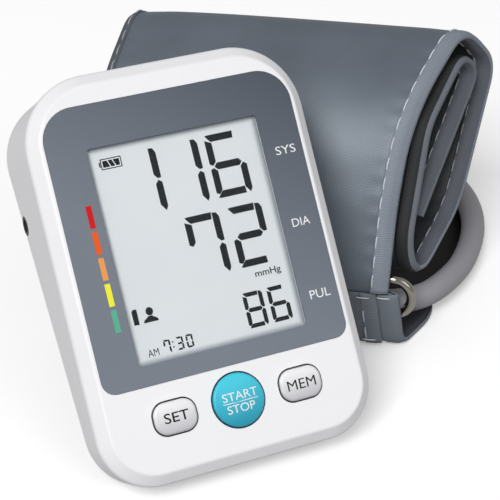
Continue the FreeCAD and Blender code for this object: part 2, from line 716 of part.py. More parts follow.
def make_dc_jack():
    mouth = V(WALL_OUT, PORT_PLACE, -PORT_DEPTH)
    half = JACK_SIDE / 2
    right = WALL_OUT - 2 * WALL
    left = WALL_OUT - JACK_LENGTH
    body = box(left, right, PORT_PLACE - half, PORT_PLACE + half, -PORT_DEPTH - half, -PORT_DEPTH + half)
    barrel = rod(JACK_RADIUS, mouth, mouth.add(V(-JACK_LENGTH, 0, 0)))
    bore = rod(JACK_BORE, mouth, mouth.add(V(-JACK_BORE_LENGTH, 0, 0)))
    return body.fuse(barrel).cut(bore).removeSplitter()


def make_case_screws():
    screws = []
    for x, y in BOSS_PLACES:
        seat = V(x, y, -SCREW_SEAT_DEPTH)
        head = rod(SCREW_HEAD_RADIUS, seat.add(V(0, 0, -SCREW_HEAD_HEIGHT)), seat)
        shank = rod(SCREW_RADIUS, seat, seat.add(V(0, 0, SCREW_LENGTH)))
        screws.append(head.fuse(shank).removeSplitter())
    return Part.makeCompound(screws)


def foot_places():
    """Middles of the feet on the base, each a little way in from a case screw."""
    places = []
    slope = math.cos(math.radians(WEDGE_ANGLE))
    for x, place in BOSS_PLACES:
        way = 1 if place < 0 else -1
        places.append((x, (place - CASE_FRONT) / slope + way * FOOT_SCREW_GAP))
    return places


def make_rubber_feet():
    feet = []
    for x, y in foot_places():
        foot = Part.makeCylinder(FOOT_RADIUS, FOOT_HEIGHT, V(x, y, -FOOT_HEIGHT))
        feet.append(on_base(round_flat_edge(foot, V(0, 0, -FOOT_HEIGHT), V(0, 0, 1), FOOT_HEIGHT / 2)))
    return Part.makeCompound(feet)


def make_battery_cover():
    """Flush cover with a finger dent, which lifts straight off the base."""
    left = TUB_SHIFT - TUB_HALF_WIDTH - DOOR_LEDGE + FIT
    right = TUB_SHIFT + TUB_HALF_WIDTH + DOOR_LEDGE - FIT
    front = TUB_FRONT - DOOR_LEDGE + FIT
    back = TUB_FRONT + TUB_LENGTH + DOOR_LEDGE - FIT
    plate = rounded_plate(left, right, front, back, DOOR_CORNER, DOOR_CORNER, 0.0, DOOR_THICKNESS)
    dent_level = DOOR_GRIP_DEPTH - DOOR_GRIP_RADIUS
    dent_place = back - DOOR_GRIP_RADIUS
    dent = rod(DOOR_GRIP_RADIUS, V(TUB_SHIFT - DOOR_GRIP_RADIUS, dent_place, dent_level),
               V(TUB_SHIFT + DOOR_GRIP_RADIUS, dent_place, dent_level))
    return on_base(plate.cut(dent))


def cell_line(index):
    return TUB_SHIFT - TUB_HALF_WIDTH + (index + 0.5) * (CELL_DIAMETER + CELL_PLAY)


def make_batteries():
    """Four cells side by side, turned about by turns."""
    cells = []
    for index in range(CELL_COUNT):
        x = cell_line(index)
        front = V(x, TUB_FRONT + CONTACT_SPACE, CELL_LEVEL)
        back = front.add(V(0, CELL_LENGTH, 0))
        if index % 2:
            front, back = back, front
        along = back.sub(front).normalize()
        shoulder = back.sub(V(along).multiply(CELL_NUB_LENGTH))
        body = rod(CELL_DIAMETER / 2, front, shoulder)
        nub = rod(CELL_NUB_RADIUS, shoulder, back)
        cells.append(on_base(body.fuse(nub).removeSplitter()))
    return Part.makeCompound(cells)


def make_battery_contacts():
    """Sprung contact plates on both end walls of the compartment."""
    plates = []
    half = CONTACT_SIDE / 2
    for index in range(CELL_COUNT):
        x = cell_line(index)
        for wall, side in ((TUB_FRONT, 1), (TUB_FRONT + TUB_LENGTH, -1)):
            inner = wall + side * CONTACT_THICKNESS
            front = min(wall, inner)
            back = front + CONTACT_THICKNESS
            plate = box(x - half, x + half, front, back, CELL_LEVEL - half, CELL_LEVEL + half)
            tip = wall + side * CONTACT_SPACE
            bump = rod(CONTACT_BUMP_RADIUS, V(x, inner, CELL_LEVEL), V(x, tip, CELL_LEVEL))
            plates.append(on_base(plate.fuse(bump).removeSplitter()))
    return Part.makeCompound(plates)


def make_glass():
    return window_plate(GLASS_EDGE, WINDOW_CORNER, -GLASS_UNDER, -GLASS_TOP)


def make_lens():
    return window_plate(0.0, WINDOW_CORNER, -PANEL_THICKNESS, 0.0)


def flat(points):
    """Side-view points (depth, height) as points of the cuff's frame."""
    return [V(0, depth, height) for depth, height in points]


def band_face(pieces, thickness):
    """Face of even thickness along a path in the side view."""
    edges = []
    ends = []
    for side in (-thickness / 2, thickness / 2):
        shifted = []
        for start, middle, end, into, along, away in pieces:
            row = []
            for point, tangent in ((start, into), (middle, along), (end, away)):
                if point is None:
                    row.append(None)
                else:
                    row.append(point.add(V(0, -tangent.z, tangent.y).multiply(side)))
            shifted.append((row[0], row[1], row[2], into, along, away))
        edges += path_edges(shifted)
        ends.append((shifted[0][0], shifted[-1][2]))
    edges.append(Part.makeLine(ends[0][0], ends[1][0]))
    edges.append(Part.makeLine(ends[0][1], ends[1][1]))
    return Part.Face(Part.Wire(Part.__sortEdges__(edges)))


def skew_slab(side_gap):
    """Space between the skewed ends of the cuff, drawn in at each end by a gap."""
    reach = 4 * CUFF_WIDTH
    corners = []
    for depth, height in ((-reach, -reach), (reach, -reach), (reach, reach), (-reach, reach)):
        corners.append(V(END_SKEW_BACK * depth + END_SKEW_UP * height - side_gap, depth, height))
    quad = Part.Face(Part.makePolygon(corners + [corners[0]]))
    return quad.extrude(V(-CUFF_WIDTH + 2 * side_gap, 0, 0))


def band(pieces, thickness, side_gap):
    """Band of cloth along a side-view path, cut by the cuff's skewed ends."""
    reach = 2 * CUFF_WIDTH
    face = band_face(pieces, thickness)
    face.translate(V(-reach, 0, 0))
    return face.extrude(V(2 * reach, 0, 0)).common(skew_slab(side_gap))


def bladder_path():
    points = flat(ROLL_POINTS[:6])
    first = points[0].add(points[1].sub(points[0]).multiply(BLADDER_START))
    last = points[4].add(points[5].sub(points[4]).multiply(BLADDER_END))
    return bent_path([first] + points[1:5] + [last], ROLL_RADII[:4])


def make_cuff_wrap():
    wrap = band(bent_path(flat(ROLL_POINTS), ROLL_RADII), CLOTH, 0.0)
    room = band(bladder_path(), BLADDER_THICKNESS + 2 * BLADDER_ROOM, BLADDER_SIDE_GAP - BLADDER_ROOM)
    return wrap.cut(room)


def ring_bar(share):
    """Axis of the ring's lower (0) or upper (1) bar, as depth and height."""
    lean = math.radians(RING_LEAN)
    reach = RING_HEIGHT * share
    return RING_DEPTH + reach * math.sin(lean), RING_BASE + reach * math.cos(lean)


def ring_ends():
    """Where the ring's straight bars stop, along the cuff."""
    depth, height = ring_bar(0.5)
    edge = END_SKEW_BACK * depth + END_SKEW_UP * height
    right = edge + RING_OVERHANG - RING_ROD - RING_HEIGHT / 2
    left = edge - CUFF_WIDTH - RING_OVERHANG + RING_ROD + RING_HEIGHT / 2
    return left, right


def tongue():
    """Thin end of the band on the table under the roll, drawn in on the right to let the hose pass."""
    left = END_SKEW_BACK * FLAP_DEPTH - CUFF_WIDTH + TONGUE_SIDE_GAP
    front = TONGUE_RIGHT[0][1]
    outline = TONGUE_RIGHT + TONGUE_BACK + [(left, TONGUE_DEPTH), (left, front)]
    corners = [V(along, depth, 0) for along, depth in outline]
    sheet = Part.Face(Part.makePolygon(corners + [corners[0]]))
    return sheet.extrude(V(0, 0, TONGUE_THICKNESS))


def make_cuff_flap():
    """Lower end of the band: down the front and under the roll, with a sleeve for the ring."""
    half = CLOTH / 2
    points = flat([(half, FLAP_TOP), (half, half), (FLAP_DEPTH, half)])
    flap = band(bent_path(points, [FLAP_RADIUS]), CLOTH, 0.0)
    depth, height = ring_bar(0)
    reach = 2 * CUFF_WIDTH
    bore = RING_ROD + FIT
    left, right = ring_ends()
    sleeve_start = V(left + SLEEVE_END_GAP, depth, height)
    sleeve = rod(bore + SLEEVE_WALL, sleeve_start, V(right - SLEEVE_END_GAP, depth, height))
    flap = flap.multiFuse([sleeve, tongue()])
    return flap.cut(rod(bore, V(-reach, depth, height), V(reach, depth, height))).removeSplitter()


def make_d_ring():
    left, right = ring_ends()
    bars = [rod(RING_ROD, V(left, 0, height), V(right, 0, height)) for height in (0.0, RING_HEIGHT)]
    bends = []
    for x, turn in ((left, 1), (right, -1)):
        section = Part.Face(Part.Wire(Part.makeCircle(RING_ROD, V(x, 0, 0), V(1, 0, 0))))
        bends.append(section.revolve(V(x, 0, RING_HEIGHT / 2), V(0, 1, 0), 180.0 * turn))
    ring = bars[0].multiFuse(bars[1:] + bends).removeSplitter()
    ring.rotate(V(0, 0, 0), V(1, 0, 0), -RING_LEAN)
    depth, height = ring_bar(0)
    ring.translate(V(0, depth, height))
    return ring


def hose_radii():
    """Arc at each inner point of the route, as large as its two runs allow."""
    radii = []
    points = [V(*point) for point in HOSE_POINTS]
    for index in range(1, len(points) - 1):
        into = points[index].sub(points[index - 1])
        away = points[index + 1].sub(points[index])
        shorter = min(into.Length, away.Length)
        radii.append(HOSE_ARC_SHARE * shorter / math.tan(into.getAngle(away) / 2))
    return radii


def coil_edges():
    """Half turns that draw in by a step each, a tighter tail and a straight end, after the free stretch."""
    last = V(*HOSE_POINTS[-1])
    heading = last.sub(V(*HOSE_POINTS[-2])).normalize()
    lead = last.add(V(heading).multiply(2 * HOSE_RADIUS))
    edges = [Part.LineSegment(last, lead).toShape()]
    turns = [(COIL_RADIUS - COIL_STEP * index, 180.0) for index in range(COIL_HALF_TURNS)]
    turns.append((COIL_TAIL_RADIUS, COIL_TAIL_TURN))
    point = lead
    for radius, angle in turns:
        leftward = V(-heading.y, heading.x, 0)
        centre = point.add(V(leftward).multiply(radius))
        stops = []
        for share in (0.5, 1.0):
            turn = FreeCAD.Rotation(V(0, 0, 1), angle * share)
            stops.append(centre.add(turn.multVec(point.sub(centre))))
        edges.append(Part.Arc(point, stops[0], stops[1]).toShape())
        heading = FreeCAD.Rotation(V(0, 0, 1), angle).multVec(heading)
        point = stops[1]
    end = point.add(V(heading).multiply(2 * HOSE_RADIUS))
    edges.append(Part.LineSegment(point, end).toShape())
    return edges


def path_length(edges):
    return sum(edge.Length for edge in edges)


def least_gap(edges, radius):
    """Least gap of a tube to itself, measured between points that lie well apart along it."""
    points = []
    run = 0.0
    for edge in edges:
        count = max(2, int(edge.Length / 3.0))
        span = edge.LastParameter - edge.FirstParameter
        for index in range(count):
            point = edge.valueAt(edge.FirstParameter + span * index / count)
            points.append((run + edge.Length * index / count, point))
        run += edge.Length
    least = run
    for place, point in points:
        for other_place, other in points:
            if abs(place - other_place) > 8 * radius:
                least = min(least, point.distanceToPoint(other))
    return least - 2 * radius


def make_air_hose():
    points = [V(*point) for point in HOSE_POINTS]
    return tube(path_edges(bent_path(points, hose_radii())), HOSE_RADIUS)


def make_hose_fitting(wrap):
    """Elbow from the cuff's lower fold to the hose."""
    start = V(*HOSE_POINTS[0])
    heading = V(*HOSE_POINTS[1]).sub(start).normalize()
    far = start.sub(V(heading).multiply(FITTING_LENGTH))
    middle = start.sub(V(heading).multiply(FITTING_LENGTH / 2))
    fold = V(middle.x, middle.y + FOLD_LEAN, FOLD_LEVEL)
    elbow = rod(FITTING_RADIUS, far, start).fuse(rod(FITTING_STUB_RADIUS, middle, fold))
    return elbow.cut(wrap).removeSplitter()


def make_hose_plug(edges):
    """Plug for the monitor's socket, on the free end of the hose."""
    edge = edges[-1]
    end = edge.valueAt(edge.LastParameter)
    heading = edge.tangentAt(edge.LastParameter)
    shoulder = end.add(V(heading).multiply(PLUG_BODY_LENGTH))
    tip = shoulder.add(V(heading).multiply(PLUG_NOSE_LENGTH))
    return rod(PLUG_BODY_RADIUS, end, shoulder).fuse(rod(PLUG_NOSE_RADIUS, shoulder, tip)).removeSplitter()


def make_hose_tie(edges):
    """Flat tie round the first and the last turn of the coil."""
    first = edges[1].valueAt(edges[1].FirstParameter)
    last = edges[COIL_HALF_TURNS].valueAt(edges[COIL_HALF_TURNS].LastParameter)
    heading = edges[1].tangentAt(edges[1].FirstParameter)
    across = last.sub(first).normalize()
    half = first.distanceToPoint(last) / 2
    loops = []
    low = -TIE_WIDTH / 2
    for radius in (HOSE_RADIUS + TIE_ROOM + TIE_THICKNESS, HOSE_RADIUS + TIE_ROOM):
        reach = half + radius
        loops.append(rounded_plate(-reach, reach, -radius, radius, radius, radius, low, low + TIE_WIDTH))
    tie = loops[0].cut(loops[1])
    middle = first.add(last).multiply(0.5)
    tie.Placement = FreeCAD.Placement(middle, FreeCAD.Rotation(across, V(0, 0, 1), heading))
    return tie


def make_monitor():
    return {
        "top_housing": make_top_housing(),
        "bottom_housing": make_bottom_housing(),
        "front_panel": make_front_panel(),
        "display_lens": make_lens(),
        "lcd_glass": make_glass(),
        "lcd_reflector": make_reflector(),
        "lcd_holder": make_lcd_holder(),
        "zebra_strips": make_zebra_strips(),
        "main_board": make_board(),
        "board_screws": make_board_screws(),
        "tact_switches": make_tact_switches(),
        "control_chips": make_control_chips(),
        "buzzer": make_buzzer(),
        "pressure_sensor": make_pressure_sensor(),
        "pump_motor": make_pump_motor(),
        "pump_head": make_pump_head(),
        "exhaust_valve": make_exhaust_valve(),
        "air_manifold": make_air_manifold(),
        "air_tubes": make_air_tubes(),
        "air_socket": make_air_socket(),
        "dc_jack": make_dc_jack(),
        "case_screws": make_case_screws(),
        "rubber_feet": make_rubber_feet(),
        "battery_cover": make_battery_cover(),
        "aa_batteries": make_batteries(),
        "battery_contacts": make_battery_contacts(),
        "start_button": make_button("start"),
        "set_button": make_button("set"),
        "memory_button": make_button("memory"),
    }


def make_cuff():
    wrap = make_cuff_wrap()
    coil = coil_edges()
    return {
        "cuff_wrap": wrap,
        "cuff_bladder": band(bladder_path(), BLADDER_THICKNESS, BLADDER_SIDE_GAP),
        "cuff_flap": make_cuff_flap(),
        "d_ring": make_d_ring(),
        "hose_fitting": make_hose_fitting(wrap),
        "air_hose": make_air_hose(),
        "air_hose_coil": tube(coil, HOSE_RADIUS),
        "hose_plug": make_hose_plug(coil),
        "hose_tie": make_hose_tie(coil),
    }


CORD_NODES = ("air_hose", "air_hose_coil", "hose_plug", "hose_tie")

# The monitor stands on the round front edge of its base, with its face sloped back
EDGE_PLACE = CASE_FRONT + SEAM_STEP + BASE_RADIUS
EDGE_LEVEL = base_level(EDGE_PLACE) + BASE_RADIUS / math.cos(math.radians(WEDGE_ANGLE))
tilt = FreeCAD.Rotation(V(1, 0, 0), FACE_TILT)
edge_point = tilt.multVec(V(0, EDGE_PLACE, EDGE_LEVEL))
face_placement = FreeCAD.Placement(V(0, -edge_point.y, BASE_RADIUS - edge_point.z), tilt)
cuff_turn = FreeCAD.Rotation(V(0, 0, 1), -CUFF_TURN)
cuff_placement = FreeCAD.Placement(V(CUFF_CORNER_X, CUFF_CORNER_Y, 0), cuff_turn)

pieces = {}
for name, shape in make_monitor().items():
    shape.Placement = face_placement.multiply(shape.Placement)
    pieces[name] = shape
for name, shape in make_cuff().items():
    shape.Placement = cuff_placement.multiply(shape.Placement)
    pieces[name] = shape

boxes = [shape.optimalBoundingBox(False, False) for name, shape in pieces.items() if name not in CORD_NODES]
low_x = min(b.XMin for b in boxes)
high_x = max(b.XMax for b in boxes)
low_y = min(b.YMin for b in boxes)
high_y = max(b.YMax for b in boxes)
shift = V(-(low_x + high_x) / 2, -(low_y + high_y) / 2, 0)

os.makedirs("parts", exist_ok=True)
for name, shape in pieces.items():
    shape.translate(shift)
    shape.exportStep("parts/" + name + ".step")
    print(name, "valid", shape.isValid(), "solids", len(shape.Solids), "volume", round(shape.Volume, 1))


def say_place(label, placement, point, direction):
    """Print a place and a direction in the row's frame, in metres."""
    spot = placement.multVec(point).add(shift).multiply(0.001)
    way = placement.Rotation.multVec(direction)
    print(label, [round(c, 5) for c in spot], [round(c, 5) for c in way])


base_turn = FreeCAD.Rotation(V(1, 0, 0), -WEDGE_ANGLE)
base_placement = face_placement.multiply(FreeCAD.Placement(V(0, CASE_FRONT, -FRONT_THICKNESS), base_turn))
print("shift", [round(c, 3) for c in shift], "box", round(high_x - low_x, 2), round(high_y - low_y, 2),
      round(min(b.ZMin for b in boxes), 3), round(max(b.ZMax for b in boxes), 2))
say_place("face", face_placement, V(0, 0, 0), V(0, 0, 1))
say_place("start", face_placement, V(0, BUTTON_ROW, 0), V(0, 0, -1))
say_place("set", face_placement, V(-BUTTON_PITCH, BUTTON_ROW, 0), V(0, 0, -1))
say_place("memory", face_placement, V(BUTTON_PITCH, BUTTON_ROW, 0), V(0, 0, -1))
say_place("air socket mouth", face_placement, V(-WALL_OUT, PORT_PLACE, -PORT_DEPTH), V(-1, 0, 0))
say_place("jack mouth", face_placement, V(WALL_OUT, PORT_PLACE, -PORT_DEPTH), V(1, 0, 0))
say_place("cover", base_placement, V(TUB_SHIFT, TUB_FRONT + TUB_LENGTH / 2, 0), V(0, 0, -1))
foot_x, foot_y = foot_places()[0]
say_place("foot", base_placement, V(foot_x, foot_y, -FOOT_HEIGHT), V(0, 0, -1))
say_place("cuff corner", cuff_placement, V(0, 0, 0), V(0, 1, 0))
say_place("cuff base", cuff_placement, V(-CUFF_WIDTH / 2, FLAP_DEPTH / 2, 0), V(0, 0, -1))
say_place("ring bar", cuff_placement, V(-CUFF_WIDTH / 2, RING_DEPTH, RING_BASE), V(-1, 0, 0))
hose_edges = path_edges(bent_path([V(*point) for point in HOSE_POINTS], hose_radii()))
print("hose arcs", [round(radius, 1) for radius in hose_radii()])
section = math.pi * HOSE_RADIUS ** 2
for label, edges in (("air_hose", hose_edges), ("air_hose_coil", coil_edges())):
    share = pieces[label].Volume / (section * path_length(edges))
    print(label, "length", round(path_length(edges), 1), "volume share", round(share, 4),
          "gap to itself", round(least_gap(edges, HOSE_RADIUS), 2))
case = [pieces[name] for name in ("top_housing", "bottom_housing", "battery_cover", "rubber_feet")]
cloth = [pieces[name] for name in ("cuff_wrap", "cuff_flap")]
for piece in case:
    print("case to cuff", [round(piece.distToShape(other)[0], 3) for other in cloth])
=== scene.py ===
"""Looks of an upper-arm blood pressure monitor that leans on its rolled cuff."""

import json
import math

import bmesh
import bpy
from mathutils import Color, Matrix, Vector


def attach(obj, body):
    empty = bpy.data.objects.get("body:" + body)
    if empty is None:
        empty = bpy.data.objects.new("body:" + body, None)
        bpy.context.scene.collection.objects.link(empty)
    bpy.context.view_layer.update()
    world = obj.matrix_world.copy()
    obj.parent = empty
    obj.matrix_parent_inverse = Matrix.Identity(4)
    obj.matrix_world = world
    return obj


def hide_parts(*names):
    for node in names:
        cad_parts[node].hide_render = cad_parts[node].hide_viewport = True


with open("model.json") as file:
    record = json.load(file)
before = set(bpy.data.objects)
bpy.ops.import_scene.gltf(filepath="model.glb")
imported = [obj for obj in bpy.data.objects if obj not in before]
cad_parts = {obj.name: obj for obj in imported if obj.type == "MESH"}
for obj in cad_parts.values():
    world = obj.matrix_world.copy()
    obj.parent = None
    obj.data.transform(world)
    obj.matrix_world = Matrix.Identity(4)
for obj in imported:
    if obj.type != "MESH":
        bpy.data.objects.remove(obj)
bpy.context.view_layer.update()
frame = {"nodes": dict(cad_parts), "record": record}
nodes = frame["nodes"]

MM = 0.001
FULL_TURN = 2 * math.pi

# The sloping face of the monitor: across, up the slope and out of it, from the middle of the grey panel
FACE_MIDDLE = Vector((-50.84, -40.37, 78.74))
FACE_TILT = math.radians(53.8)
FACE_ACROSS = Vector((1.0, 0.0, 0.0))
FACE_UP = Vector((0.0, math.cos(FACE_TILT), math.sin(FACE_TILT)))

# Buttons and window, in millimetres on the face
BUTTON_ROW = -61.6
BUTTON_PITCH = 23.6
START_RADIUS = 9.4
SIDE_HALF = (7.7, 5.6)
SIDE_CORNER = 4.6
WINDOW_MIDDLE = (-0.15, -4.1)
WINDOW_HALF = (31.7, 38.2)

# The cuff's own frame: along its roll, depth behind its front, and height, from its right front corner
CUFF_CORNER = Vector((34.16, -38.19, 0.0))
CUFF_TURN = math.radians(33.8)
CUFF_WIDTH = 125.0
END_SKEW_BACK = 0.45
END_SKEW_UP = -0.145


def face_point(across, up, out):
    cos, sin = math.cos(FACE_TILT), math.sin(FACE_TILT)
    return (FACE_MIDDLE + Vector((across, up * cos - out * sin, up * sin + out * cos))) * MM


def cuff_point(along, depth, height):
    cos, sin = math.cos(CUFF_TURN), math.sin(CUFF_TURN)
    return (CUFF_CORNER + Vector((along * cos + depth * sin, depth * cos - along * sin, height))) * MM


def cuff_end(depth, height):
    """Where the cuff's skewed right end lies along the roll."""
    return END_SKEW_BACK * depth + END_SKEW_UP * height


def add_object(name, data):
    item = bpy.data.objects.new(name, data)
    bpy.context.scene.collection.objects.link(item)
    return item


# Camera
CAMERA_PLACE = (-0.236599, -0.507742, 0.388523)
CAMERA_TILT = 57.58
CAMERA_TURN = -23.81
CAMERA_LENS = 122.4
CLIP_START = 0.01
CLIP_END = 20.0


def make_camera():
    data = bpy.data.cameras.new("camera")
    data.lens = CAMERA_LENS
    data.clip_start = CLIP_START
    data.clip_end = CLIP_END
    camera = add_object("camera", data)
    camera.location = CAMERA_PLACE
    camera.rotation_euler = (math.radians(CAMERA_TILT), 0.0, math.radians(CAMERA_TURN))
    bpy.context.scene.camera = camera


make_camera()


# Shader helpers. The numbers are the sockets that the Mix node has for colours.
MIX_SHARE, MIX_FIRST, MIX_SECOND = 0, 6, 7
MIX_RESULT = 2


def tone(red, green, blue):
    """A colour as seen on a screen, from 0 to 255, turned into the light values that shaders take."""
    seen = Color((red / 255, green / 255, blue / 255))
    return (*seen.from_srgb_to_scene_linear(), 1.0)


def grey(level):
    return (level, level, level, 1.0)


def feed(tree, sockets, values):
    """Join each named socket to another node's output, or give it a value of its own."""
    for name, value in values.items():
        if isinstance(value, bpy.types.NodeSocket):
            tree.links.new(value, sockets[name])
        else:
            sockets[name].default_value = value


def add_node(tree, kind, values=None, **settings):
    node = tree.nodes.new(kind)
    for name, setting in settings.items():
        setattr(node, name, setting)
    feed(tree, node.inputs, values or {})
    return node


def reckon(tree, operation, *values):
    return add_node(tree, "ShaderNodeMath", dict(enumerate(values)), operation=operation).outputs[0]


def weighted(tree, first, second, shares):
    """The sum of two values, each times its share."""
    one = reckon(tree, "MULTIPLY", first, shares[0])
    return reckon(tree, "ADD", one, reckon(tree, "MULTIPLY", second, shares[1]))


def mix_colour(tree, share, first, second):
    values = {MIX_SHARE: share, MIX_FIRST: first, MIX_SECOND: second}
    return add_node(tree, "ShaderNodeMix", values, data_type="RGBA").outputs[MIX_RESULT]


def noise(tree, place, scale, detail):
    values = {"Vector": place, "Scale": scale, "Detail": detail}
    return add_node(tree, "ShaderNodeTexNoise", values).outputs["Fac"]


def along_axis(tree, place, axis):
    values = {0: place, 1: axis}
    return add_node(tree, "ShaderNodeVectorMath", values, operation="DOT_PRODUCT").outputs["Value"]


# Effects that several finishes share: moulded grain, twill cloth and ribbed tape. A pitch is in metres.
CUFF_PITCH = 0.00098
FLAP_PITCH = 0.00085
LINING_PITCH = 0.0007
TAPE_PITCH = 0.0007
THREAD_PITCH = 0.0004
TWILL_ROUGHNESS = 0.52
TWILL_GLOSS = 0.14
GRAIN_SCALE = 2500.0
GRAIN_DRIFT = 30.0
TWILL_DRIFT = 40.0
RIB_DRIFT = 60.0
BROAD_DETAIL = 2.0
FINE_DETAIL = 3.0
MIDDLE_HEIGHT = 0.5
GRAIN_SWAY = 0.16
# How far two parts of an effect count, in its colour or in its height
GRAIN_SHADE = (0.75, 0.25)
TWILL_SHADE = (0.6, 0.4)
TWILL_SHARES = (0.36, 0.14)
RIB_SHADE = (0.55, 0.45)
RIB_SHARES = (0.38, 0.12)
# Which way the two waves of a weave go on the flat cloth, and how close they are
TWILL_WAVES = ((1.0, 0.62, 0.0), (0.0, 1.7, 0.0))
RIB_WAVES = ((0.0, 1.0, 0.0), (0.8, 0.0, 0.0))


def new_group(name, size):
    """An effect to fill in. It takes a place, two colours, the size of its pattern and a roughness."""
    group = bpy.data.node_groups.new(name, "ShaderNodeTree")
    takes = {"Vector": "Vector", "Light": "Color", "Dark": "Color", size: "Float", "Roughness": "Float"}
    for label, kind in takes.items():
        group.interface.new_socket(label, in_out="INPUT", socket_type="NodeSocket" + kind)
    return group, add_node(group, "NodeGroupInput").outputs


def end_group(group, given, shade, roughness, height):
    """Let the effect give a colour, from dark to light with the shade, a roughness and a height."""
    for label, kind in (("Color", "Color"), ("Roughness", "Float"), ("Height", "Float")):
        group.interface.new_socket(label, in_out="OUTPUT", socket_type="NodeSocket" + kind)
    colour = mix_colour(group, shade, given["Dark"], given["Light"])
    add_node(group, "NodeGroupOutput", {"Color": colour, "Roughness": roughness, "Height": height})
    return group


def make_grain_group():
    """Fine moulded grain: a little drift of colour, of roughness and of height."""
    group, given = new_group("moulded_grain", "Grain")
    fine = noise(group, given["Vector"], given["Grain"], FINE_DETAIL)
    broad = noise(group, given["Vector"], GRAIN_DRIFT, BROAD_DETAIL)
    sway = reckon(group, "MULTIPLY", reckon(group, "SUBTRACT", broad, MIDDLE_HEIGHT), GRAIN_SWAY)
    roughness = reckon(group, "ADD", given["Roughness"], sway)
    return end_group(group, given, weighted(group, broad, fine, GRAIN_SHADE), roughness, fine)


def make_weave_group(name, waves, shares, shade, drift, detail, gloss=0.0):
    """Woven threads on a flat map in metres: two waves that cross, with a broad drift of colour."""
    group, given = new_group(name, "Pitch")
    rate = reckon(group, "DIVIDE", FULL_TURN, given["Pitch"])
    threads = []
    for axis in waves:
        turn = reckon(group, "MULTIPLY", along_axis(group, given["Vector"], axis), rate)
        threads.append(reckon(group, "SINE", turn))
    height = reckon(group, "ADD", weighted(group, *threads, shares), MIDDLE_HEIGHT)
    patches = noise(group, given["Vector"], drift, detail)
    roughness = reckon(group, "SUBTRACT", given["Roughness"], reckon(group, "MULTIPLY", height, gloss))
    return end_group(group, given, weighted(group, height, patches, shade), roughness, height)


GRAIN = make_grain_group()
TWILL = make_weave_group(
    "twill_weave", TWILL_WAVES, TWILL_SHARES, TWILL_SHADE, TWILL_DRIFT, FINE_DETAIL, TWILL_GLOSS
)
RIBS = make_weave_group("cross_ribs", RIB_WAVES, RIB_SHARES, RIB_SHADE, RIB_DRIFT, BROAD_DETAIL)


# Finishes. A relief is the strength and the depth of the bump.
FINISH = {}
CAP_ROUGHNESS = 0.34
# How far a button cap's painted shade reaches up from its lower edge, in half heights
CAP_SHADE_REACH = 1.7
# Painted shade on the panel: darkest at the first place (across, up) near its top right, its own colour from
# the second on
PANEL_SHADE_ENDS = ((44.0, 48.0), (-4.0, -16.0))
# Painted shade on the display: between these distances in from the window's edge, in millimetres
WINDOW_SHADE_REACH = (-0.4, 2.3)
GRAIN_DEPTH = 0.0001
CLOTH_RELIEF = (0.25, 0.00015)
TAPE_RELIEF = (0.45, 0.0002)
THREAD_RELIEF = (0.3, 0.0001)


def new_finish(name, group, coordinate, relief, light, dark, values, sockets):
    """A material whose shader takes colour, roughness and relief from a shared effect."""
    material = bpy.data.materials.new(name)
    material.use_nodes = True
    FINISH[name] = material
    tree = material.node_tree
    place = add_node(tree, "ShaderNodeTexCoord").outputs[coordinate]
    effect = add_node(tree, "ShaderNodeGroup", node_tree=group)
    feed(tree, effect.inputs, {"Vector": place, "Light": tone(*light), "Dark": tone(*dark), **values})
    given = effect.outputs
    strength, depth = relief
    bump = {"Strength": strength, "Distance": depth, "Height": given["Height"]}
    normal = add_node(tree, "ShaderNodeBump", bump).outputs["Normal"]
    shader = tree.nodes["Principled BSDF"].inputs
    feed(tree, shader, {label.replace("_", " "): value for label, value in sockets.items()})
    feed(tree, shader, {"Base Color": given["Color"], "Roughness": given["Roughness"], "Normal": normal})
    return tree, place, shader, given["Color"]


def moulded(name, light, dark, roughness, relief=0.06, grain=GRAIN_SCALE, **sockets):
    values = {"Grain": grain, "Roughness": roughness}
    return new_finish(name, GRAIN, "Object", (relief, GRAIN_DEPTH), light, dark, values, sockets)


def printed(name, light, dark):
    """Flat ink with hardly any shine."""
    moulded(name, light, dark, roughness=0.6, relief=0.02, Specular_IOR_Level=0.1)


def woven(name, light, dark, pitch, relief=CLOTH_RELIEF, **sockets):
    values = {"Pitch": pitch, "Roughness": TWILL_ROUGHNESS}
    new_finish(name, TWILL, "UV", relief, light, dark, values, sockets)


def taped(name, light, dark, roughness, pitch=TAPE_PITCH, relief=TAPE_RELIEF):
    values = {"Pitch": pitch, "Roughness": roughness}
    new_finish(name, RIBS, "UV", relief, light, dark, values, {})


def paint_shade_in(tree, shader, value, low, high, shade, colour, kind="LINEAR"):
    """Paint shade into a shader's colour: from a darker shade to its own, while a value goes from low to
    high.
    """
    values = {"Value": value, "From Min": low, "From Max": high}
    share = add_node(tree, "ShaderNodeMapRange", values, interpolation_type=kind).outputs["Result"]
    feed(tree, shader, {"Base Color": mix_colour(tree, share, tone(*shade), colour)})


def shade_painted_plastic(name, light, dark, shade, ends, roughness, **sockets):
    """Moulded plastic with painted shade: its colour goes from a darker shade to its own between two places
    on the face.
    """
    tree, place, shader, colour = moulded(name, light, dark, roughness, relief=0.05, **sockets)
    first, last = [face_point(across, up, 0.0) for across, up in ends]
    span = (last - first) / (last - first).length_squared
    low = first.dot(span)
    paint_shade_in(tree, shader, along_axis(tree, place, span), low, low + 1.0, shade, colour)


def cap_with_painted_shade(name, light, dark, shade, half, **sockets):
    """Button cap with painted shade that darkens it towards its lower edge. half is half its height."""
    low = BUTTON_ROW - half
    shade_painted_plastic(name, light, dark, shade, ((0.0, low), (0.0, low + CAP_SHADE_REACH * half)), CAP_ROUGHNESS, **sockets)


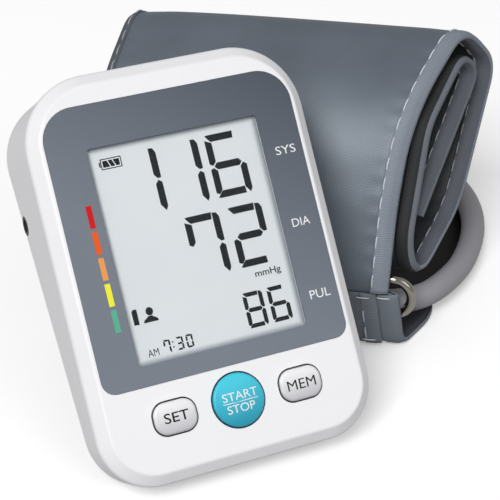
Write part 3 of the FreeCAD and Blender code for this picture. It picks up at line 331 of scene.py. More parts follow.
def display_with_painted_shade(name, light, dark, shade):
    """Pale liquid crystal glass with painted shade that darkens it softly towards the edge of the window,
    where its recess shades it.
    """
    tree, place, shader, colour = moulded(name, light, dark, roughness=0.5, relief=0.02)
    middle = face_point(*WINDOW_MIDDLE, 0.0)
    inward = []
    for axis, half in zip((FACE_ACROSS, FACE_UP), WINDOW_HALF):
        far = reckon(tree, "SUBTRACT", along_axis(tree, place, axis), middle.dot(axis))
        inward.append(reckon(tree, "SUBTRACT", half * MM, reckon(tree, "ABSOLUTE", far)))
    nearest = reckon(tree, "MINIMUM", *inward)
    low, high = WINDOW_SHADE_REACH
    paint_shade_in(tree, shader, nearest, low * MM, high * MM, shade, colour, "SMOOTHSTEP")


moulded("case_white", (247, 247, 249), (242, 242, 245), 0.34, Coat_Weight=0.15, Coat_Roughness=0.2)
# Panel with painted shade, darker towards its top right
shade_painted_plastic(
    "panel_grey", (120, 129, 141), (105, 113, 125), (64, 73, 85), PANEL_SHADE_ENDS, 0.4,
    Coat_Weight=0.1, Coat_Roughness=0.3,
)
# Start and side buttons with painted shade along their lower edges
cap_with_painted_shade(
    "button_teal", (70, 212, 235), (58, 202, 226), (30, 150, 176), START_RADIUS,
    Specular_IOR_Level=0.4, Coat_Weight=0.1,
)
cap_with_painted_shade(
    "button_white", (247, 247, 249), (241, 241, 244), (190, 190, 195), SIDE_HALF[1],
    Coat_Weight=0.2, Coat_Roughness=0.2,
)
# Display with painted shade towards the window's edge
display_with_painted_shade("display_pale", (240, 245, 248), (229, 235, 239), (140, 148, 157))
moulded("clear_window", (120, 126, 130), (104, 110, 114), 0.06, relief=0.02, Alpha=0.04)
moulded("silver_film", (200, 202, 204), (180, 183, 186), 0.35, Metallic=0.7)
moulded("inner_plastic", (212, 211, 205), (198, 197, 190), 0.5)
moulded("contact_rubber", (52, 52, 55), (38, 38, 41), 0.6)
moulded("board_green", (38, 116, 66), (22, 88, 48), 0.45)
moulded("steel", (196, 198, 201), (168, 171, 175), 0.32, Metallic=1.0)
moulded("dark_plastic", (52, 53, 57), (36, 37, 41), 0.45)
moulded("soft_tube", (222, 220, 212), (204, 202, 194), 0.4)
moulded("foot_rubber", (92, 93, 96), (74, 75, 79), 0.7)
moulded("cell_sleeve", (70, 74, 82), (52, 56, 64), 0.3)
moulded("bladder_rubber", (62, 62, 66), (48, 48, 52), 0.6)
moulded("ring_chrome", (178, 175, 164), (156, 153, 142), 0.08, relief=0.01, Metallic=1.0)
moulded("hose_grey", (161, 160, 166), (145, 145, 150), 0.42, relief=0.1, grain=1800.0)
# Dark seals in the button gaps, darkened as painted shade for the gaps
moulded("seal_and_shade_blue", (20, 54, 68), (14, 44, 56), 0.6)
moulded("seal_and_shade_dark", (56, 57, 61), (44, 45, 49), 0.6)
woven(
    "cuff_cloth", (108, 117, 128), (40, 46, 56), CUFF_PITCH, (0.3, 0.0002), Specular_IOR_Level=1.0,
    Specular_Tint=(0.78, 0.9, 1.0, 1.0), Coat_Weight=0.6, Coat_Roughness=0.48,
)
# Darker copy of the cuff cloth, as painted shade on the cloth inside the roll
woven("cuff_cloth_in_shade", (56, 60, 67), (28, 31, 36), CUFF_PITCH, (0.4, 0.0002))
woven("cuff_lining", (58, 60, 66), (38, 40, 45), LINING_PITCH)
# Lining darkened near to black, as painted shade in the hollow under the roll
woven("tongue_lining_in_shade", (24, 25, 28), (14, 15, 17), LINING_PITCH, Specular_IOR_Level=0.2)
woven("flap_cloth", (130, 138, 146), (80, 87, 95), FLAP_PITCH, (0.5, 0.0002))
taped("edge_tape", (146, 154, 165), (107, 115, 126), 0.5)
# Darker copies of the edge tape, as painted shade: on the tape's inner side and the left end, on its fold
# inside the roll, and near black on its outer side inside the roll
taped("tape_in_shade", (98, 103, 112), (66, 70, 78), 0.55)
taped("fold_in_shade", (122, 128, 137), (88, 93, 102), 0.55)
taped("shaded_tape", (30, 32, 36), (18, 20, 23), 0.6)
taped("flap_tape", (130, 138, 147), (94, 101, 110), 0.55)
taped("stitch_thread", (232, 234, 240), (190, 194, 204), 0.6, THREAD_PITCH, THREAD_RELIEF)
taped("shaded_thread", (176, 180, 188), (140, 144, 152), 0.6, THREAD_PITCH, THREAD_RELIEF)
printed("segment_ink", (28, 32, 36), (22, 26, 30))
printed("label_white", (246, 247, 248), (236, 238, 240))
printed("label_black", (40, 40, 43), (30, 30, 33))
printed("mark_red", (220, 34, 38), (204, 26, 32))
printed("mark_orange", (246, 102, 40), (232, 90, 34))
printed("mark_apricot", (246, 166, 98), (234, 152, 86))
printed("mark_yellow", (252, 248, 70), (242, 236, 58))
printed("mark_green", (102, 188, 156), (90, 174, 144))


# Mesh helpers

def add_skin(work, rings, closed=False):
    """Faces through rings of points, each with the rows and columns of its corners. Open ends are filled."""
    rows = len(rings)
    count = len(rings[0])
    places = []
    for row in range(rows if closed else rows - 1):
        for column in range(count):
            places.append([(row, column), (row, column + 1), (row + 1, column + 1), (row + 1, column)])
    if not closed:
        places.append([(0, column) for column in reversed(range(count))])
        places.append([(rows - 1, column) for column in range(count)])
    spots = [[work.verts.new(point) for point in ring] for ring in rings]
    skin = []
    for corners in places:
        face = work.faces.new([spots[row % rows][column % count] for row, column in corners])
        skin.append((face, corners))
    return skin


def place_piece(work, name, materials, body, slot):
    """Turn a working mesh's faces outwards and make it a piece with its finishes, on a body."""
    bmesh.ops.recalc_face_normals(work, faces=work.faces)
    mesh = bpy.data.meshes.new(name)
    work.to_mesh(mesh)
    work.free()
    for label in materials:
        mesh.materials.append(FINISH[label])
    piece = add_object(name, mesh)
    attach(piece, body)
    return piece


def loft(name, rings, materials, body, slot, finish=None, flat_map=None, closed=False):
    """A closed skin through rings of points. finish gives the material at a row and column, and flat_map the
    place of a ring's corner on the flat cloth, in metres."""
    work = bmesh.new()
    layer = work.loops.layers.uv.new("flat") if flat_map else None
    for face, corners in add_skin(work, rings, closed):
        face.smooth = True
        if finish:
            face.material_index = finish(*min(corners))
        if flat_map:
            for corner, (row, column) in zip(face.loops, corners):
                corner[layer].uv = flat_map(row, column)
    return place_piece(work, name, materials, body, slot)


def circle(count):
    """The cosine and sine of even steps round a full turn."""
    angles = [FULL_TURN * step / count for step in range(count)]
    return [(math.cos(angle), math.sin(angle)) for angle in angles]


# Hose: the same route as its solid, then the turns of the put-away coil
HOSE_DIAMETER = 10.0
HOSE_REST = 6.1
HOSE_ROUNDNESS = 8
HOSE_SMOOTHNESS = 16
HOSE_ORDER = 3
HOSE_POINTS = [
    (-40.0, 16.5, 9.8), (-20.0, 16.7, 9.8), (-4.0, 18.2, 9.8), (7.0, 25.0, 9.6), (14.0, 37.0, 8.9),
    (19.5, 53.0, 7.0), (22.5, 71.0, HOSE_REST), (23.0, 90.0, HOSE_REST), (19.0, 109.0, HOSE_REST),
    (9.6, 126.5, HOSE_REST),
]
COIL_TURNS = [(54.0, 180.0), (48.0, 180.0), (30.0, 120.0)]
COIL_STEP = 20.0


def coil_points():
    """Points of the coil's turns, each set out a little so that the smooth line runs at the turn's radius."""
    last = Vector(HOSE_POINTS[-1])
    heading = (last - Vector(HOSE_POINTS[-2])).normalized()
    point = last + heading * HOSE_DIAMETER
    reach = 1.0 / math.cos(math.radians(COIL_STEP / 2))
    points = []
    for radius, angle in COIL_TURNS:
        leftward = Vector((-heading.y, heading.x, 0.0))
        centre = point + leftward * radius
        for index in range(round(angle / COIL_STEP)):
            turn = Matrix.Rotation(math.radians(COIL_STEP * (index + 0.5)), 3, "Z")
            points.append(centre + turn @ (point - centre) * reach)
        whole = Matrix.Rotation(math.radians(angle), 3, "Z")
        point = centre + whole @ (point - centre)
        heading = whole @ heading
    return points + [point, point + heading * HOSE_DIAMETER]


def make_hose():
    data = bpy.data.curves.new("hose_line", "CURVE")
    data.dimensions = "3D"
    data.bevel_depth = HOSE_DIAMETER / 2 * MM
    data.bevel_resolution = HOSE_ROUNDNESS
    data.resolution_u = HOSE_SMOOTHNESS
    data.use_fill_caps = True
    places = [cuff_point(*point) for point in HOSE_POINTS + coil_points()]
    line = data.splines.new("NURBS")
    line.points.add(len(places) - 1)
    for spot, place in zip(line.points, places):
        spot.co = (*place, 1.0)
    line.order_u = HOSE_ORDER
    line.use_endpoint_u = True
    data.materials.append(FINISH["hose_grey"])
    hose = add_object("hose_tube", data)
    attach(hose, "cuff")
    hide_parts("air_hose", "air_hose_coil")


make_hose()


# Cloth: the steps along and across it, how thick it is from its edge inwards, and the pulls at its stitches
CLOTH_STEP = 1.6
SMOOTH_PASSES = 3
ARC_LEAST = 3
SHORTEST = 1e-9
EDGE_STEPS = [0.0, 0.5, 1.2, 2.4, 4.4, 6.0, 7.2, 8.4, 10.0, 12.5, 16.0, 21.0]
MIDDLE_FROM = 26.0
MIDDLE_STEP = 5.6
EDGE_ROUND = 2.4
EDGE_LEAST = 0.06
SWELL_OVER = 10.0
END_THICKNESS = 0.35
END_GROWTH = 0.3
PULL_FROM = 1.2
PULL_OFF = 2.2
PULL_REACH = 2.6
PULL_DEPTH = 0.13

# Tape round an edge: its skin from the inner rim to the fold, and the slot that holds the cloth
TAPE_WIDTH = 5.3
TAPE_SHARES = (1.0, 0.95, 0.87, 0.7, 0.47, 0.25, 0.11, 0.03)
TAPE_RIM = 0.35
FOLD_OUT = 0.6
FOLD_SHOULDER = (-0.45, 0.55)
TAPE_UNDER = 0.75
TAPE_SLOT = 0.4
SLOT_FLOOR = (1.6, 0.3)

# Stitches along an edge or a hem
STITCH_INSET = 4.6
STITCH_PERIOD = 7.5
STITCH_LENGTH = 5.3
STITCH_RADIUS = 0.28
STITCH_SIDES = 8
STITCH_TIP = 0.45
STITCH_SHARES = (0.0, 0.18, 0.5, 0.82, 1.0)
STITCH_RISES = (-0.3, 0.0, 0.12, 0.0, -0.3)
HEM_RISES = (-0.3, 0.0, 0.1, 0.0, -0.3)
SEAM_START = 2.0
SEAM_END = 1.0

# Rolled cuff: its line in the side view, and its left end, which flares out at the back and sags at the top
ROLL_POINTS = [
    (0.5, 25.5), (12.3, 57.0), (27.24, 87.22), (66.0, 108.5), (85.0, 86.0), (50.0, 38.5),
    (17.0, 22.0), (14.5, 40.0), (35.5, 80.5), (63.0, 98.0), (73.0, 88.0), (24.0, 47.0),
]
ROLL_RADII = [60.0, 65.0, 12.0, 10.0, 40.0, 7.0, 22.0, 22.0, 7.0, 6.0]
ROLL_CLOTH = (1.95, 1.6)
INNER_TURN = Vector((17.0, 22.0))
OUTER_INSET = 2.8
OUTER_TURN = 120.0
ROLL_PROUD = 0.45
THREAD_LIFT = 0.12
LEFT_TAPE_WIDTH = 3.0
LEFT_STITCH_INSET = 1.9
FLARE_FROM = 36.0
FLARE_SLOPE = 0.24
FLARE_MOST = 8.5
SAG_FROM = 84.0
SAG_OVER = 20.0
SAG_MOST = 1.9
SAG_POWER = 6
# Finishes of a tape: outer side, inner side, outer side inside the roll, fold inside the roll. All but the
# first are darker copies as painted shade, and the left end's outer side takes one too
RIGHT_FINISH = ["edge_tape", "tape_in_shade", "shaded_tape", "fold_in_shade"]
LEFT_FINISH = ["tape_in_shade"] + RIGHT_FINISH[1:]


def clamp(value, low, high):
    return min(max(value, low), high)


def soft_line(points, radii):
    """Even steps along runs joined by arcs, as (place, direction, 0) in the cuff's side view. The last number
    is for how far the right edge is drawn in there."""
    corners = [Vector(point) for point in points]
    spots = [corners[0]]
    for radius, before, corner, after in zip(radii, corners, corners[1:], corners[2:]):
        into = (corner - before).normalized()
        away = (after - corner).normalized()
        bend = into.angle(away)
        side = 1.0 if into.cross(away) > 0 else -1.0
        start = corner - into * (radius * math.tan(bend / 2))
        centre = start + Vector((-into.y, into.x)) * side * radius
        arm = start - centre
        count = max(ARC_LEAST, int(math.degrees(bend)))
        for part in range(count + 1):
            angle = side * bend * part / count
            spots.append(centre + Matrix.Rotation(angle, 2) @ arm)
    spots.append(corners[-1])
    runs = [0.0]
    for before, after in zip(spots, spots[1:]):
        runs.append(runs[-1] + (after - before).length)
    count = int(runs[-1] / CLOTH_STEP)
    even = []
    index = 0
    for part in range(count + 1):
        goal = runs[-1] * part / count
        while index < len(runs) - 2 and runs[index + 1] < goal:
            index += 1
        share = (goal - runs[index]) / max(runs[index + 1] - runs[index], SHORTEST)
        even.append(spots[index].lerp(spots[index + 1], share))
    for _ in range(SMOOTH_PASSES):
        middle = [(a + b * 2 + c) / 4 for a, b, c in zip(even, even[1:], even[2:])]
        even = [even[0]] + middle + [even[-1]]
    line = []
    for index, spot in enumerate(even):
        ahead = even[min(index + 1, count)] - even[max(index - 1, 0)]
        line.append((spot, ahead.normalized(), 0.0))
    return line


def across_steps(width):
    """Places across a band of cloth, close together near both edges."""
    count = int((width - 2 * MIDDLE_FROM) / MIDDLE_STEP) + 1
    middle = [MIDDLE_FROM + MIDDLE_STEP * index for index in range(count)]
    return EDGE_STEPS + middle + [width - step for step in reversed(EDGE_STEPS)]


def half_thickness(inset, cloth):
    """Half the cloth's thickness: rounded at the very edge, thin under the tape, full inside it. cloth gives
    it for the middle and for the edge."""
    middle, edge = cloth
    if inset < EDGE_ROUND:
        return edge * math.sqrt(max(EDGE_LEAST, 1.0 - (1.0 - inset / EDGE_ROUND) ** 2))
    share = clamp((inset - TAPE_WIDTH) / SWELL_OVER, 0.0, 1.0)
    return edge + (middle - edge) * share * share * (3 - 2 * share)


def pucker(run, inset):
    """Small pulls of the cloth at the stitches."""
    near = math.exp(-((inset - STITCH_INSET - PULL_OFF) / PULL_REACH) ** 2)
    return PULL_DEPTH * near * math.cos(FULL_TURN * run / STITCH_PERIOD)


def band_point(spot, direction, side, lift, inset, from_right=True):
    """A point on one side of the cloth, at a distance from one end of the roll."""
    place = spot + Vector((-direction.y, direction.x)) * side * lift
    right = cuff_end(place.x, place.y)
    flare = clamp((place.x - FLARE_FROM) * FLARE_SLOPE, 0.0, FLARE_MOST)
    share = inset / CUFF_WIDTH
    if from_right:
        along = right - inset * (1.0 + flare / CUFF_WIDTH)
    else:
        along = right - CUFF_WIDTH - flare + inset
        share = 1.0 - share
    sag = SAG_MOST * share ** SAG_POWER * clamp((place.y - SAG_FROM) / SAG_OVER, 0.0, 1.0)
    return cuff_point(along, place.x, place.y - sag)


def make_band(name, line, step, cloth, gap, materials, slot, inner_from=math.inf):
    """Two-sided cloth along a line, at a gap from both ends of the roll. Its outer side is to the left of the
    line's direction, and takes the inner side's finish from a row on, where it is inside the roll. In the
    roll that finish is a darker copy of the cloth, as painted shade."""
    width = CUFF_WIDTH - 2 * gap
    insets = across_steps(width)
    count = len(insets)
    rings = []
    for index, (spot, direction, drawn) in enumerate(line):
        close = min(1.0, END_THICKNESS + END_GROWTH * min(index, len(line) - 1 - index))
        ring = []
        for side, order in ((1, insets), (-1, reversed(insets))):
            for inset in order:
                near = min(inset, width - inset)
                lift = half_thickness(near, cloth)
                if near > PULL_FROM:
                    lift += pucker(index * step, near)
                place = inset + gap + drawn * (1.0 - inset / width)
                ring.append(band_point(spot, direction, side, lift * close, place))
        rings.append(ring)

    def finish(row, column):
        return 0 if column < count - 1 and row < inner_from else 1

    def flat_map(row, column):
        inset = insets[column] if column < count else insets[max(0, 2 * count - 1 - column)]
        return (inset * MM, row * step * MM)

    return loft(name, rings, materials, "cuff", slot, finish, flat_map)


def make_tape(name, line, step, from_right, gap, cloth, tape, materials, slot, inner_from=math.inf):
    """Binding tape folded over an edge of the cloth. tape gives its width and how far it stands proud. Of the
    finishes, the first is for the outer side and the second for the inner one. From a row on, the outer side
    takes the third and the fold the fourth, where they are inside the roll. In the roll, the finishes after
    the first are darker copies of the tape, as painted shade."""
    edge = cloth[1]
    broad, proud = tape
    skin = []
    for share in TAPE_SHARES:
        rise = proud * (TAPE_RIM if share == 1.0 else 1.0)
        skin.append((broad * share, half_thickness(broad * share, cloth) + rise))
    skin.append((FOLD_SHOULDER[0], edge * FOLD_SHOULDER[1]))
    fold = len(skin)
    profile = [(inset, lift, 1) for inset, lift in skin] + [(-FOLD_OUT, 0.0, 1)]
    profile += [(inset, lift, -1) for inset, lift in reversed(skin)]
    inner = [(broad, edge * TAPE_UNDER), (broad * TAPE_SLOT, edge * TAPE_UNDER), SLOT_FLOOR]
    profile += [(inset, lift, -1) for inset, lift in inner]
    profile += [(inset, lift, 1) for inset, lift in reversed(inner)]
    reach = [0.0]
    for before, after in zip(profile, profile[1:] + profile[:1]):
        rise = after[1] * after[2] - before[1] * before[2]
        reach.append(reach[-1] + math.hypot(after[0] - before[0], rise))

    def finish(row, column):
        inside = row >= inner_from
        if fold - 3 <= column <= fold:
            return 3 if inside else 0
        if column > fold:
            return min(1, len(materials) - 1)
        return 2 if inside else 0

    def flat_map(row, column):
        return (reach[column] * MM, row * step * MM)

    rings = []
    for spot, direction, drawn in line:
        start = gap + drawn if from_right else gap
        ring = []
        for inset, lift, side in profile:
            ring.append(band_point(spot, direction, side, lift, inset + start, from_right))
        rings.append(ring)
    loft(name, rings, materials, "cuff", slot, finish, flat_map)


def sew(start, end, rises):
    """Stitches along a seam, each a row of (run, rise)."""
    stitches = []
    while start + STITCH_LENGTH < end:
        stitches.append([(start + STITCH_LENGTH * share, rise) for share, rise in zip(STITCH_SHARES, rises)])
        start += STITCH_PERIOD
    return stitches


def seam_lines(line, step, inset, from_right, side, lift):
    """Stitches along the roll's line at a distance from one end."""
    lines = []
    for stitch in sew(SEAM_START, (len(line) - 1) * step - SEAM_END, STITCH_RISES):
        points = []
        for run, rise in stitch:
            index = min(int(run / step), len(line) - 2)
            share = run / step - index
            before, after = line[index:index + 2]
            spot = before[0].lerp(after[0], share)
            direction = before[1].lerp(after[1], share).normalized()
            start = inset + before[2] if from_right else inset
            points.append(band_point(spot, direction, side, lift + rise, start, from_right))
        lines.append(points)
    return lines


def stitch_rings(points):
    """Rings of a thin capsule along a few points."""
    last = len(points) - 1
    rings = []
    for index, point in enumerate(points):
        ahead = points[min(index + 1, last)] - points[max(index - 1, 0)]
        turn = ahead.to_track_quat("Z", "Y")
        size = STITCH_RADIUS * MM * (STITCH_TIP if index in (0, last) else 1.0)
        rings.append([point + turn @ Vector((x * size, y * size, 0.0)) for x, y in circle(STITCH_SIDES)])
    return rings


def make_stitches(name, lines, material, slot):
    work = bmesh.new()
    layer = work.loops.layers.uv.new("flat")
    for points in lines:
        for face, _ in add_skin(work, stitch_rings(points)):
            face.smooth = True
            for corner in face.loops:
                corner[layer].uv = (corner.vert.co.x + corner.vert.co.y, corner.vert.co.z)
    place_piece(work, name, [material], "cuff", slot)


def make_roll():
    plain = soft_line(ROLL_POINTS, ROLL_RADII)
    step = sum((after[0] - before[0]).length for before, after in zip(plain, plain[1:])) / (len(plain) - 1)
    line = []
    for index, (spot, direction, _) in enumerate(plain):
        share = min(1.0, index * step / OUTER_TURN)
        line.append((spot, direction, OUTER_INSET * (1.0 - share * share)))
    inner_from = min(range(len(line)), key=lambda index: (line[index][0] - INNER_TURN).length)
    # The cloth inside the roll takes a darker copy of its finish, as painted shade
    cloth = make_band(
        "cuff_roll", line, step, ROLL_CLOTH, 0.0, ["cuff_cloth", "cuff_cloth_in_shade"], "cuff_cloth", inner_from
    )
    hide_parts("cuff_wrap")
    ends = (
        ("right", True, TAPE_WIDTH, STITCH_INSET, RIGHT_FINISH, "stitch_thread"),
        ("left", False, LEFT_TAPE_WIDTH, LEFT_STITCH_INSET, LEFT_FINISH, "shaded_thread"),
    )
    for label, from_right, broad, sewn, finishes, outer_thread in ends:
        make_tape(
            "cuff_tape_" + label, line, step, from_right, 0.0, ROLL_CLOTH, (broad, ROLL_PROUD), finishes,
            "cuff_cloth", inner_from,
        )
        lift = half_thickness(sewn, ROLL_CLOTH) + ROLL_PROUD + THREAD_LIFT
        seams = (("outer", 1, line[:inner_from], outer_thread), ("inner", -1, line, "shaded_thread"))
        for kind, side, sewn_line, thread in seams:
            lines = seam_lines(sewn_line, step, sewn, from_right, side, lift)
            make_stitches("cuff_seam_" + label + "_" + kind, lines, thread, "cuff_cloth")


make_roll()


# Lower flap: a base band that goes under the roll, a front layer sewn on it, and the ring's sleeve
FLAP_TOP = 24.6
FLAP_DEPTH = 30.0
FLAP_MATERIALS = ["flap_cloth", "cuff_lining"]
FLAP_TAPE = (6.6, 0.25)
FRONT_TAPE = (TAPE_WIDTH, 0.25)
BASE_CLOTH = (1.6, 1.5)
BASE_LINE = 2.4
BASE_LOW = 1.75
BASE_POINTS = [(FLAP_DEPTH, BASE_LOW), (BASE_LINE, BASE_LOW), (BASE_LINE, FLAP_TOP - 0.2)]
BASE_RADIUS = 2.4
BASE_STRAIGHT = 16.0
BASE_DRAWN = 3.4
FRONT_CLOTH = (0.75, 0.65)
FRONT_POINTS = [(0.85, 2.2), (0.65, 12.0), (0.85, FLAP_TOP + 0.4)]
FRONT_RADIUS = 300.0
FRONT_INSET = 7.6
FRONT_THREAD_LIFT = 1.1
STRIP_DEPTH = 0.45
# Seams along the roll: height, depth, and how far they stop from the ends
HEMS = [(FLAP_TOP - 1.6, -0.4, 1.6), (3.8, -0.35, FRONT_INSET + 1.0)]

RING_ROD = 2.0
RING_HEIGHT = 15.4
RING_LEAN = math.radians(4.0)
RING_DEPTH = 6.6
RING_BASE = 12.0
RING_OVERHANG = 4.8
SLEEVE_OUTER = 4.2
SLEEVE_END = [(2.35, 0.0), (3.05, -0.5), (3.7, -0.3), (SLEEVE_OUTER, 0.5)]
SLEEVE_GAP = 1.0
SLEEVE_SIDES = 28

TONGUE_DEPTH = 49.0
TONGUE_SIDE_GAP = 12.0
TONGUE_CORNER = (6.0, 7.0)
TONGUE_RIGHT = [
    (0.0, 12.0), (4.0, 25.0), (10.0, 41.0), (16.0, 60.0),
    (19.5, 75.0), (20.5, 90.0), (19.5, 104.0), (17.0, 116.0),
]
TONGUE_BACK = [(8.0, 115.0), (5.0, 100.0), (-2.0, 80.0), (-14.0, 66.0), (-26.0, 58.0)]
TONGUE_ROUNDS = 3
# The tongue's rim: how far in from its outline, and height
TONGUE_RIM = [(0.5, 0.05), (0.12, 0.22), (0.0, 0.5), (0.12, 0.75), (0.5, 0.92)]


def hem_lines(height, depth, margin):
    """Stitches across the front of the flap, up to a margin from its ends."""
    lines = []
    for stitch in sew(margin, CUFF_WIDTH - margin, HEM_RISES):
        place = stitch[0][0]
        under = place < FRONT_INSET or place > CUFF_WIDTH - FRONT_INSET - STITCH_LENGTH
        surface = STRIP_DEPTH if under else depth
        right = cuff_end(surface, height)
        lines.append([cuff_point(right - run, surface - rise, height) for run, rise in stitch])
    return lines


def make_flap():
    line = []
    for spot, direction, _ in soft_line(BASE_POINTS, [BASE_RADIUS]):
        share = max(0.0, (spot.x - BASE_STRAIGHT) / (FLAP_DEPTH - BASE_STRAIGHT))
        line.append((spot, direction, BASE_DRAWN * share * share))
    step = (line[1][0] - line[0][0]).length
    band = make_band("flap_base", line, step, BASE_CLOTH, 0.0, FLAP_MATERIALS, "flap_cloth")
    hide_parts("cuff_flap")
    front = soft_line(FRONT_POINTS, [FRONT_RADIUS])
    front_step = (front[1][0] - front[0][0]).length
    layer = make_band(
        "flap_front", front, front_step, FRONT_CLOTH, FRONT_INSET, FLAP_MATERIALS, "flap_cloth"
    )
    lines = []
    for label, from_right in (("right", True), ("left", False)):
        make_tape(
            "flap_tape_" + label, line, step, from_right, 0.0, BASE_CLOTH, FLAP_TAPE,
            ["flap_tape", "cuff_lining"], "flap_cloth",
        )
        make_tape(
            "flap_edge_" + label, front, front_step, from_right, FRONT_INSET, FRONT_CLOTH, FRONT_TAPE,
            ["flap_tape"], "flap_cloth",
        )
        inset = FRONT_INSET + STITCH_INSET
        lines += seam_lines(front, front_step, inset, from_right, 1, FRONT_THREAD_LIFT)
    for hem in HEMS:
        lines += hem_lines(*hem)
    make_stitches("flap_seams", lines, "stitch_thread", "flap_cloth")


def rounded(outline):
    """A closed outline with its corners cut softer."""
    for _ in range(TONGUE_ROUNDS):
        softer = []
        for before, after in zip(outline, outline[1:] + outline[:1]):
            softer += [before.lerp(after, 0.25), before.lerp(after, 0.75)]
        outline = softer
    return outline


def make_tongue():
    """Thin end of the band on the table under the roll; its lining is near black, as painted shade in the
    hollow under the roll.
    """
    left = END_SKEW_BACK * FLAP_DEPTH - CUFF_WIDTH + TONGUE_SIDE_GAP
    end = [(left + TONGUE_CORNER[0], TONGUE_DEPTH), (left, TONGUE_DEPTH - TONGUE_CORNER[1])]
    end += [(left, depth) for _, depth in reversed(TONGUE_RIGHT[:2])]
    outline = rounded([Vector(corner) for corner in TONGUE_RIGHT + TONGUE_BACK + end])
    rings = []
    flat = []
    for inset, height in TONGUE_RIM:
        ring = []
        for before, spot, after in zip(outline[-1:] + outline, outline, outline[1:] + outline[:1]):
            ahead = after - before
            inward = Vector((-ahead.y, ahead.x)).normalized()
            ring.append(spot + inward * inset)
        flat.append(ring)
        rings.append([cuff_point(spot.x, spot.y, height) for spot in ring])

    def flat_map(row, column):
        return flat[row][column % len(outline)] * MM

    tongue = loft("flap_tongue", rings, ["tongue_lining_in_shade"], "cuff", "flap_cloth", flat_map=flat_map)


def make_sleeve():
    """Folded cloth tube round the ring's lower bar."""
    middle = RING_HEIGHT / 2
    edge = cuff_end(RING_DEPTH + middle * math.sin(RING_LEAN), RING_BASE + middle * math.cos(RING_LEAN))
    inset = RING_ROD + middle + SLEEVE_GAP - RING_OVERHANG
    profile = [(radius, edge - CUFF_WIDTH + inset + shift) for radius, shift in SLEEVE_END]
    profile += [(radius, edge - inset - shift) for radius, shift in reversed(SLEEVE_END)]
    rings = []
    for cos, sin in circle(SLEEVE_SIDES):
        ring = []
        for radius, along in profile:
            ring.append(cuff_point(along, RING_DEPTH + radius * cos, RING_BASE + radius * sin))
        rings.append(ring)

    def flat_map(row, column):
        along = profile[column % len(profile)][1]
        return (along * MM, SLEEVE_OUTER * FULL_TURN * row / SLEEVE_SIDES * MM)

    loft("ring_sleeve", rings, ["flap_tape"], "cuff", "flap_cloth", flat_map=flat_map, closed=True)


make_flap()
make_tongue()
make_sleeve()


# Display and labels, in millimetres on the face
GLASS_LEVEL = -2.39
PANEL_LEVEL = 0.01
INK_THICKNESS = 0.03
LETTER_DEPTH = 0.01
LETTER_SMOOTHNESS = 4
SAME_PLACE = 1e-7
START_PROUD = 2.0
START_CROWN = 0.9
SIDE_PROUD = 1.9
SIDE_CROWN = 0.5
LINE_LEFT = -6.3
LINE_RIGHT = 6.8
LINE_LOW = -62.25
LINE_HEIGHT = 0.25
LINE_RISE = 0.05
LINE_PARTS = 14


def glass_level(across, up):
    return GLASS_LEVEL


def panel_level(across, up):
    return PANEL_LEVEL


def dome_level(middle, proud, reach, crown):
    """The domed top of a button, as a height over the face at a point."""
    radius = (reach ** 2 + crown ** 2) / (2 * crown)

    def level(across, up):
        away = (across - middle) ** 2 + (up - BUTTON_ROW) ** 2
        return proud + PANEL_LEVEL - radius + math.sqrt(radius ** 2 - away)

    return level


start_level = dome_level(0.0, START_PROUD, START_RADIUS, START_CROWN)
set_level = dome_level(-BUTTON_PITCH, SIDE_PROUD, SIDE_HALF[0], SIDE_CROWN)
memory_level = dome_level(BUTTON_PITCH, SIDE_PROUD, SIDE_HALF[0], SIDE_CROWN)


def line_level(across, up):
    """Just above the start button's curved cap."""
    return start_level(across, up) + LINE_RISE


def box(left, low, right, high):
    return [(left, low), (right, low), (right, high), (left, high)]


# Where print lies: its level, its ink, and the body and slot that carry it
ON_GLASS = (glass_level, "segment_ink", "monitor", "display_pale")
ON_PANEL = (panel_level, "label_white", "monitor", "panel_grey")
ON_START = (start_level, "label_white", "start_button", "button_teal")
ON_SET = (set_level, "label_black", "set_button", "button_white")
ON_MEMORY = (memory_level, "label_black", "memory_button", "button_white")

# Rows of digits: their foot, width, height and bar, then each mark with its left side
BIG_DIGITS = [
    (8.1, 13.6, 22.6, 2.5, (("1", -20.8), ("1", -5.1), ("6", 11.2))),
    (-17.6, 13.1, 21.7, 2.5, (("7", -3.1), ("2", 13.2))),
    (-38.9, 7.5, 12.6, 1.5, (("8", 11.2), ("6", 20.5))),
]
CLOCK_DIGITS = [(-40.0, 2.5, 4.6, 0.64, (("7", -20.8), ("3", -16.1), ("0", -12.5)))]
CLOCK_DOTS = [(-17.6, -36.9), (-17.6, -38.7)]
DOT_SIZE = 0.5
DIGIT_GAP = 0.17
SEGMENTS = {"0": "abcdef", "1": "bc", "2": "abged", "3": "abgcd", "6": "acdefg", "7": "abcf", "8": "abcdefg"}

# Signs: a cell, and the first user's mark
CELL_BOX = (-27.4, 26.3, -19.8, 30.1)
CELL_TIP = box(-28.0, 27.4, -27.5, 29.0)
CELL_LINE = 0.34
CELL_MARGIN = 0.75
CELL_CUTS = (0.34, 0.4, 0.64, 0.7)
CELL_SLANT = 0.45
USER_BAR = [(-29.2, -28.2), (-27.3, -28.2), (-27.3, -22.8), (-28.6, -22.8), (-29.2, -23.4)]
USER_HEAD = (-22.9, -24.5)
USER_HEAD_RADII = (1.35, 1.45)
USER_HEAD_SIDES = 20
USER_SHOULDERS = [
    (-25.7, -28.2), (-20.2, -28.2), (-20.5, -27.3), (-21.9, -26.4),
    (-22.3, -26.05), (-23.6, -26.05), (-24.0, -26.4), (-25.4, -27.3),
]

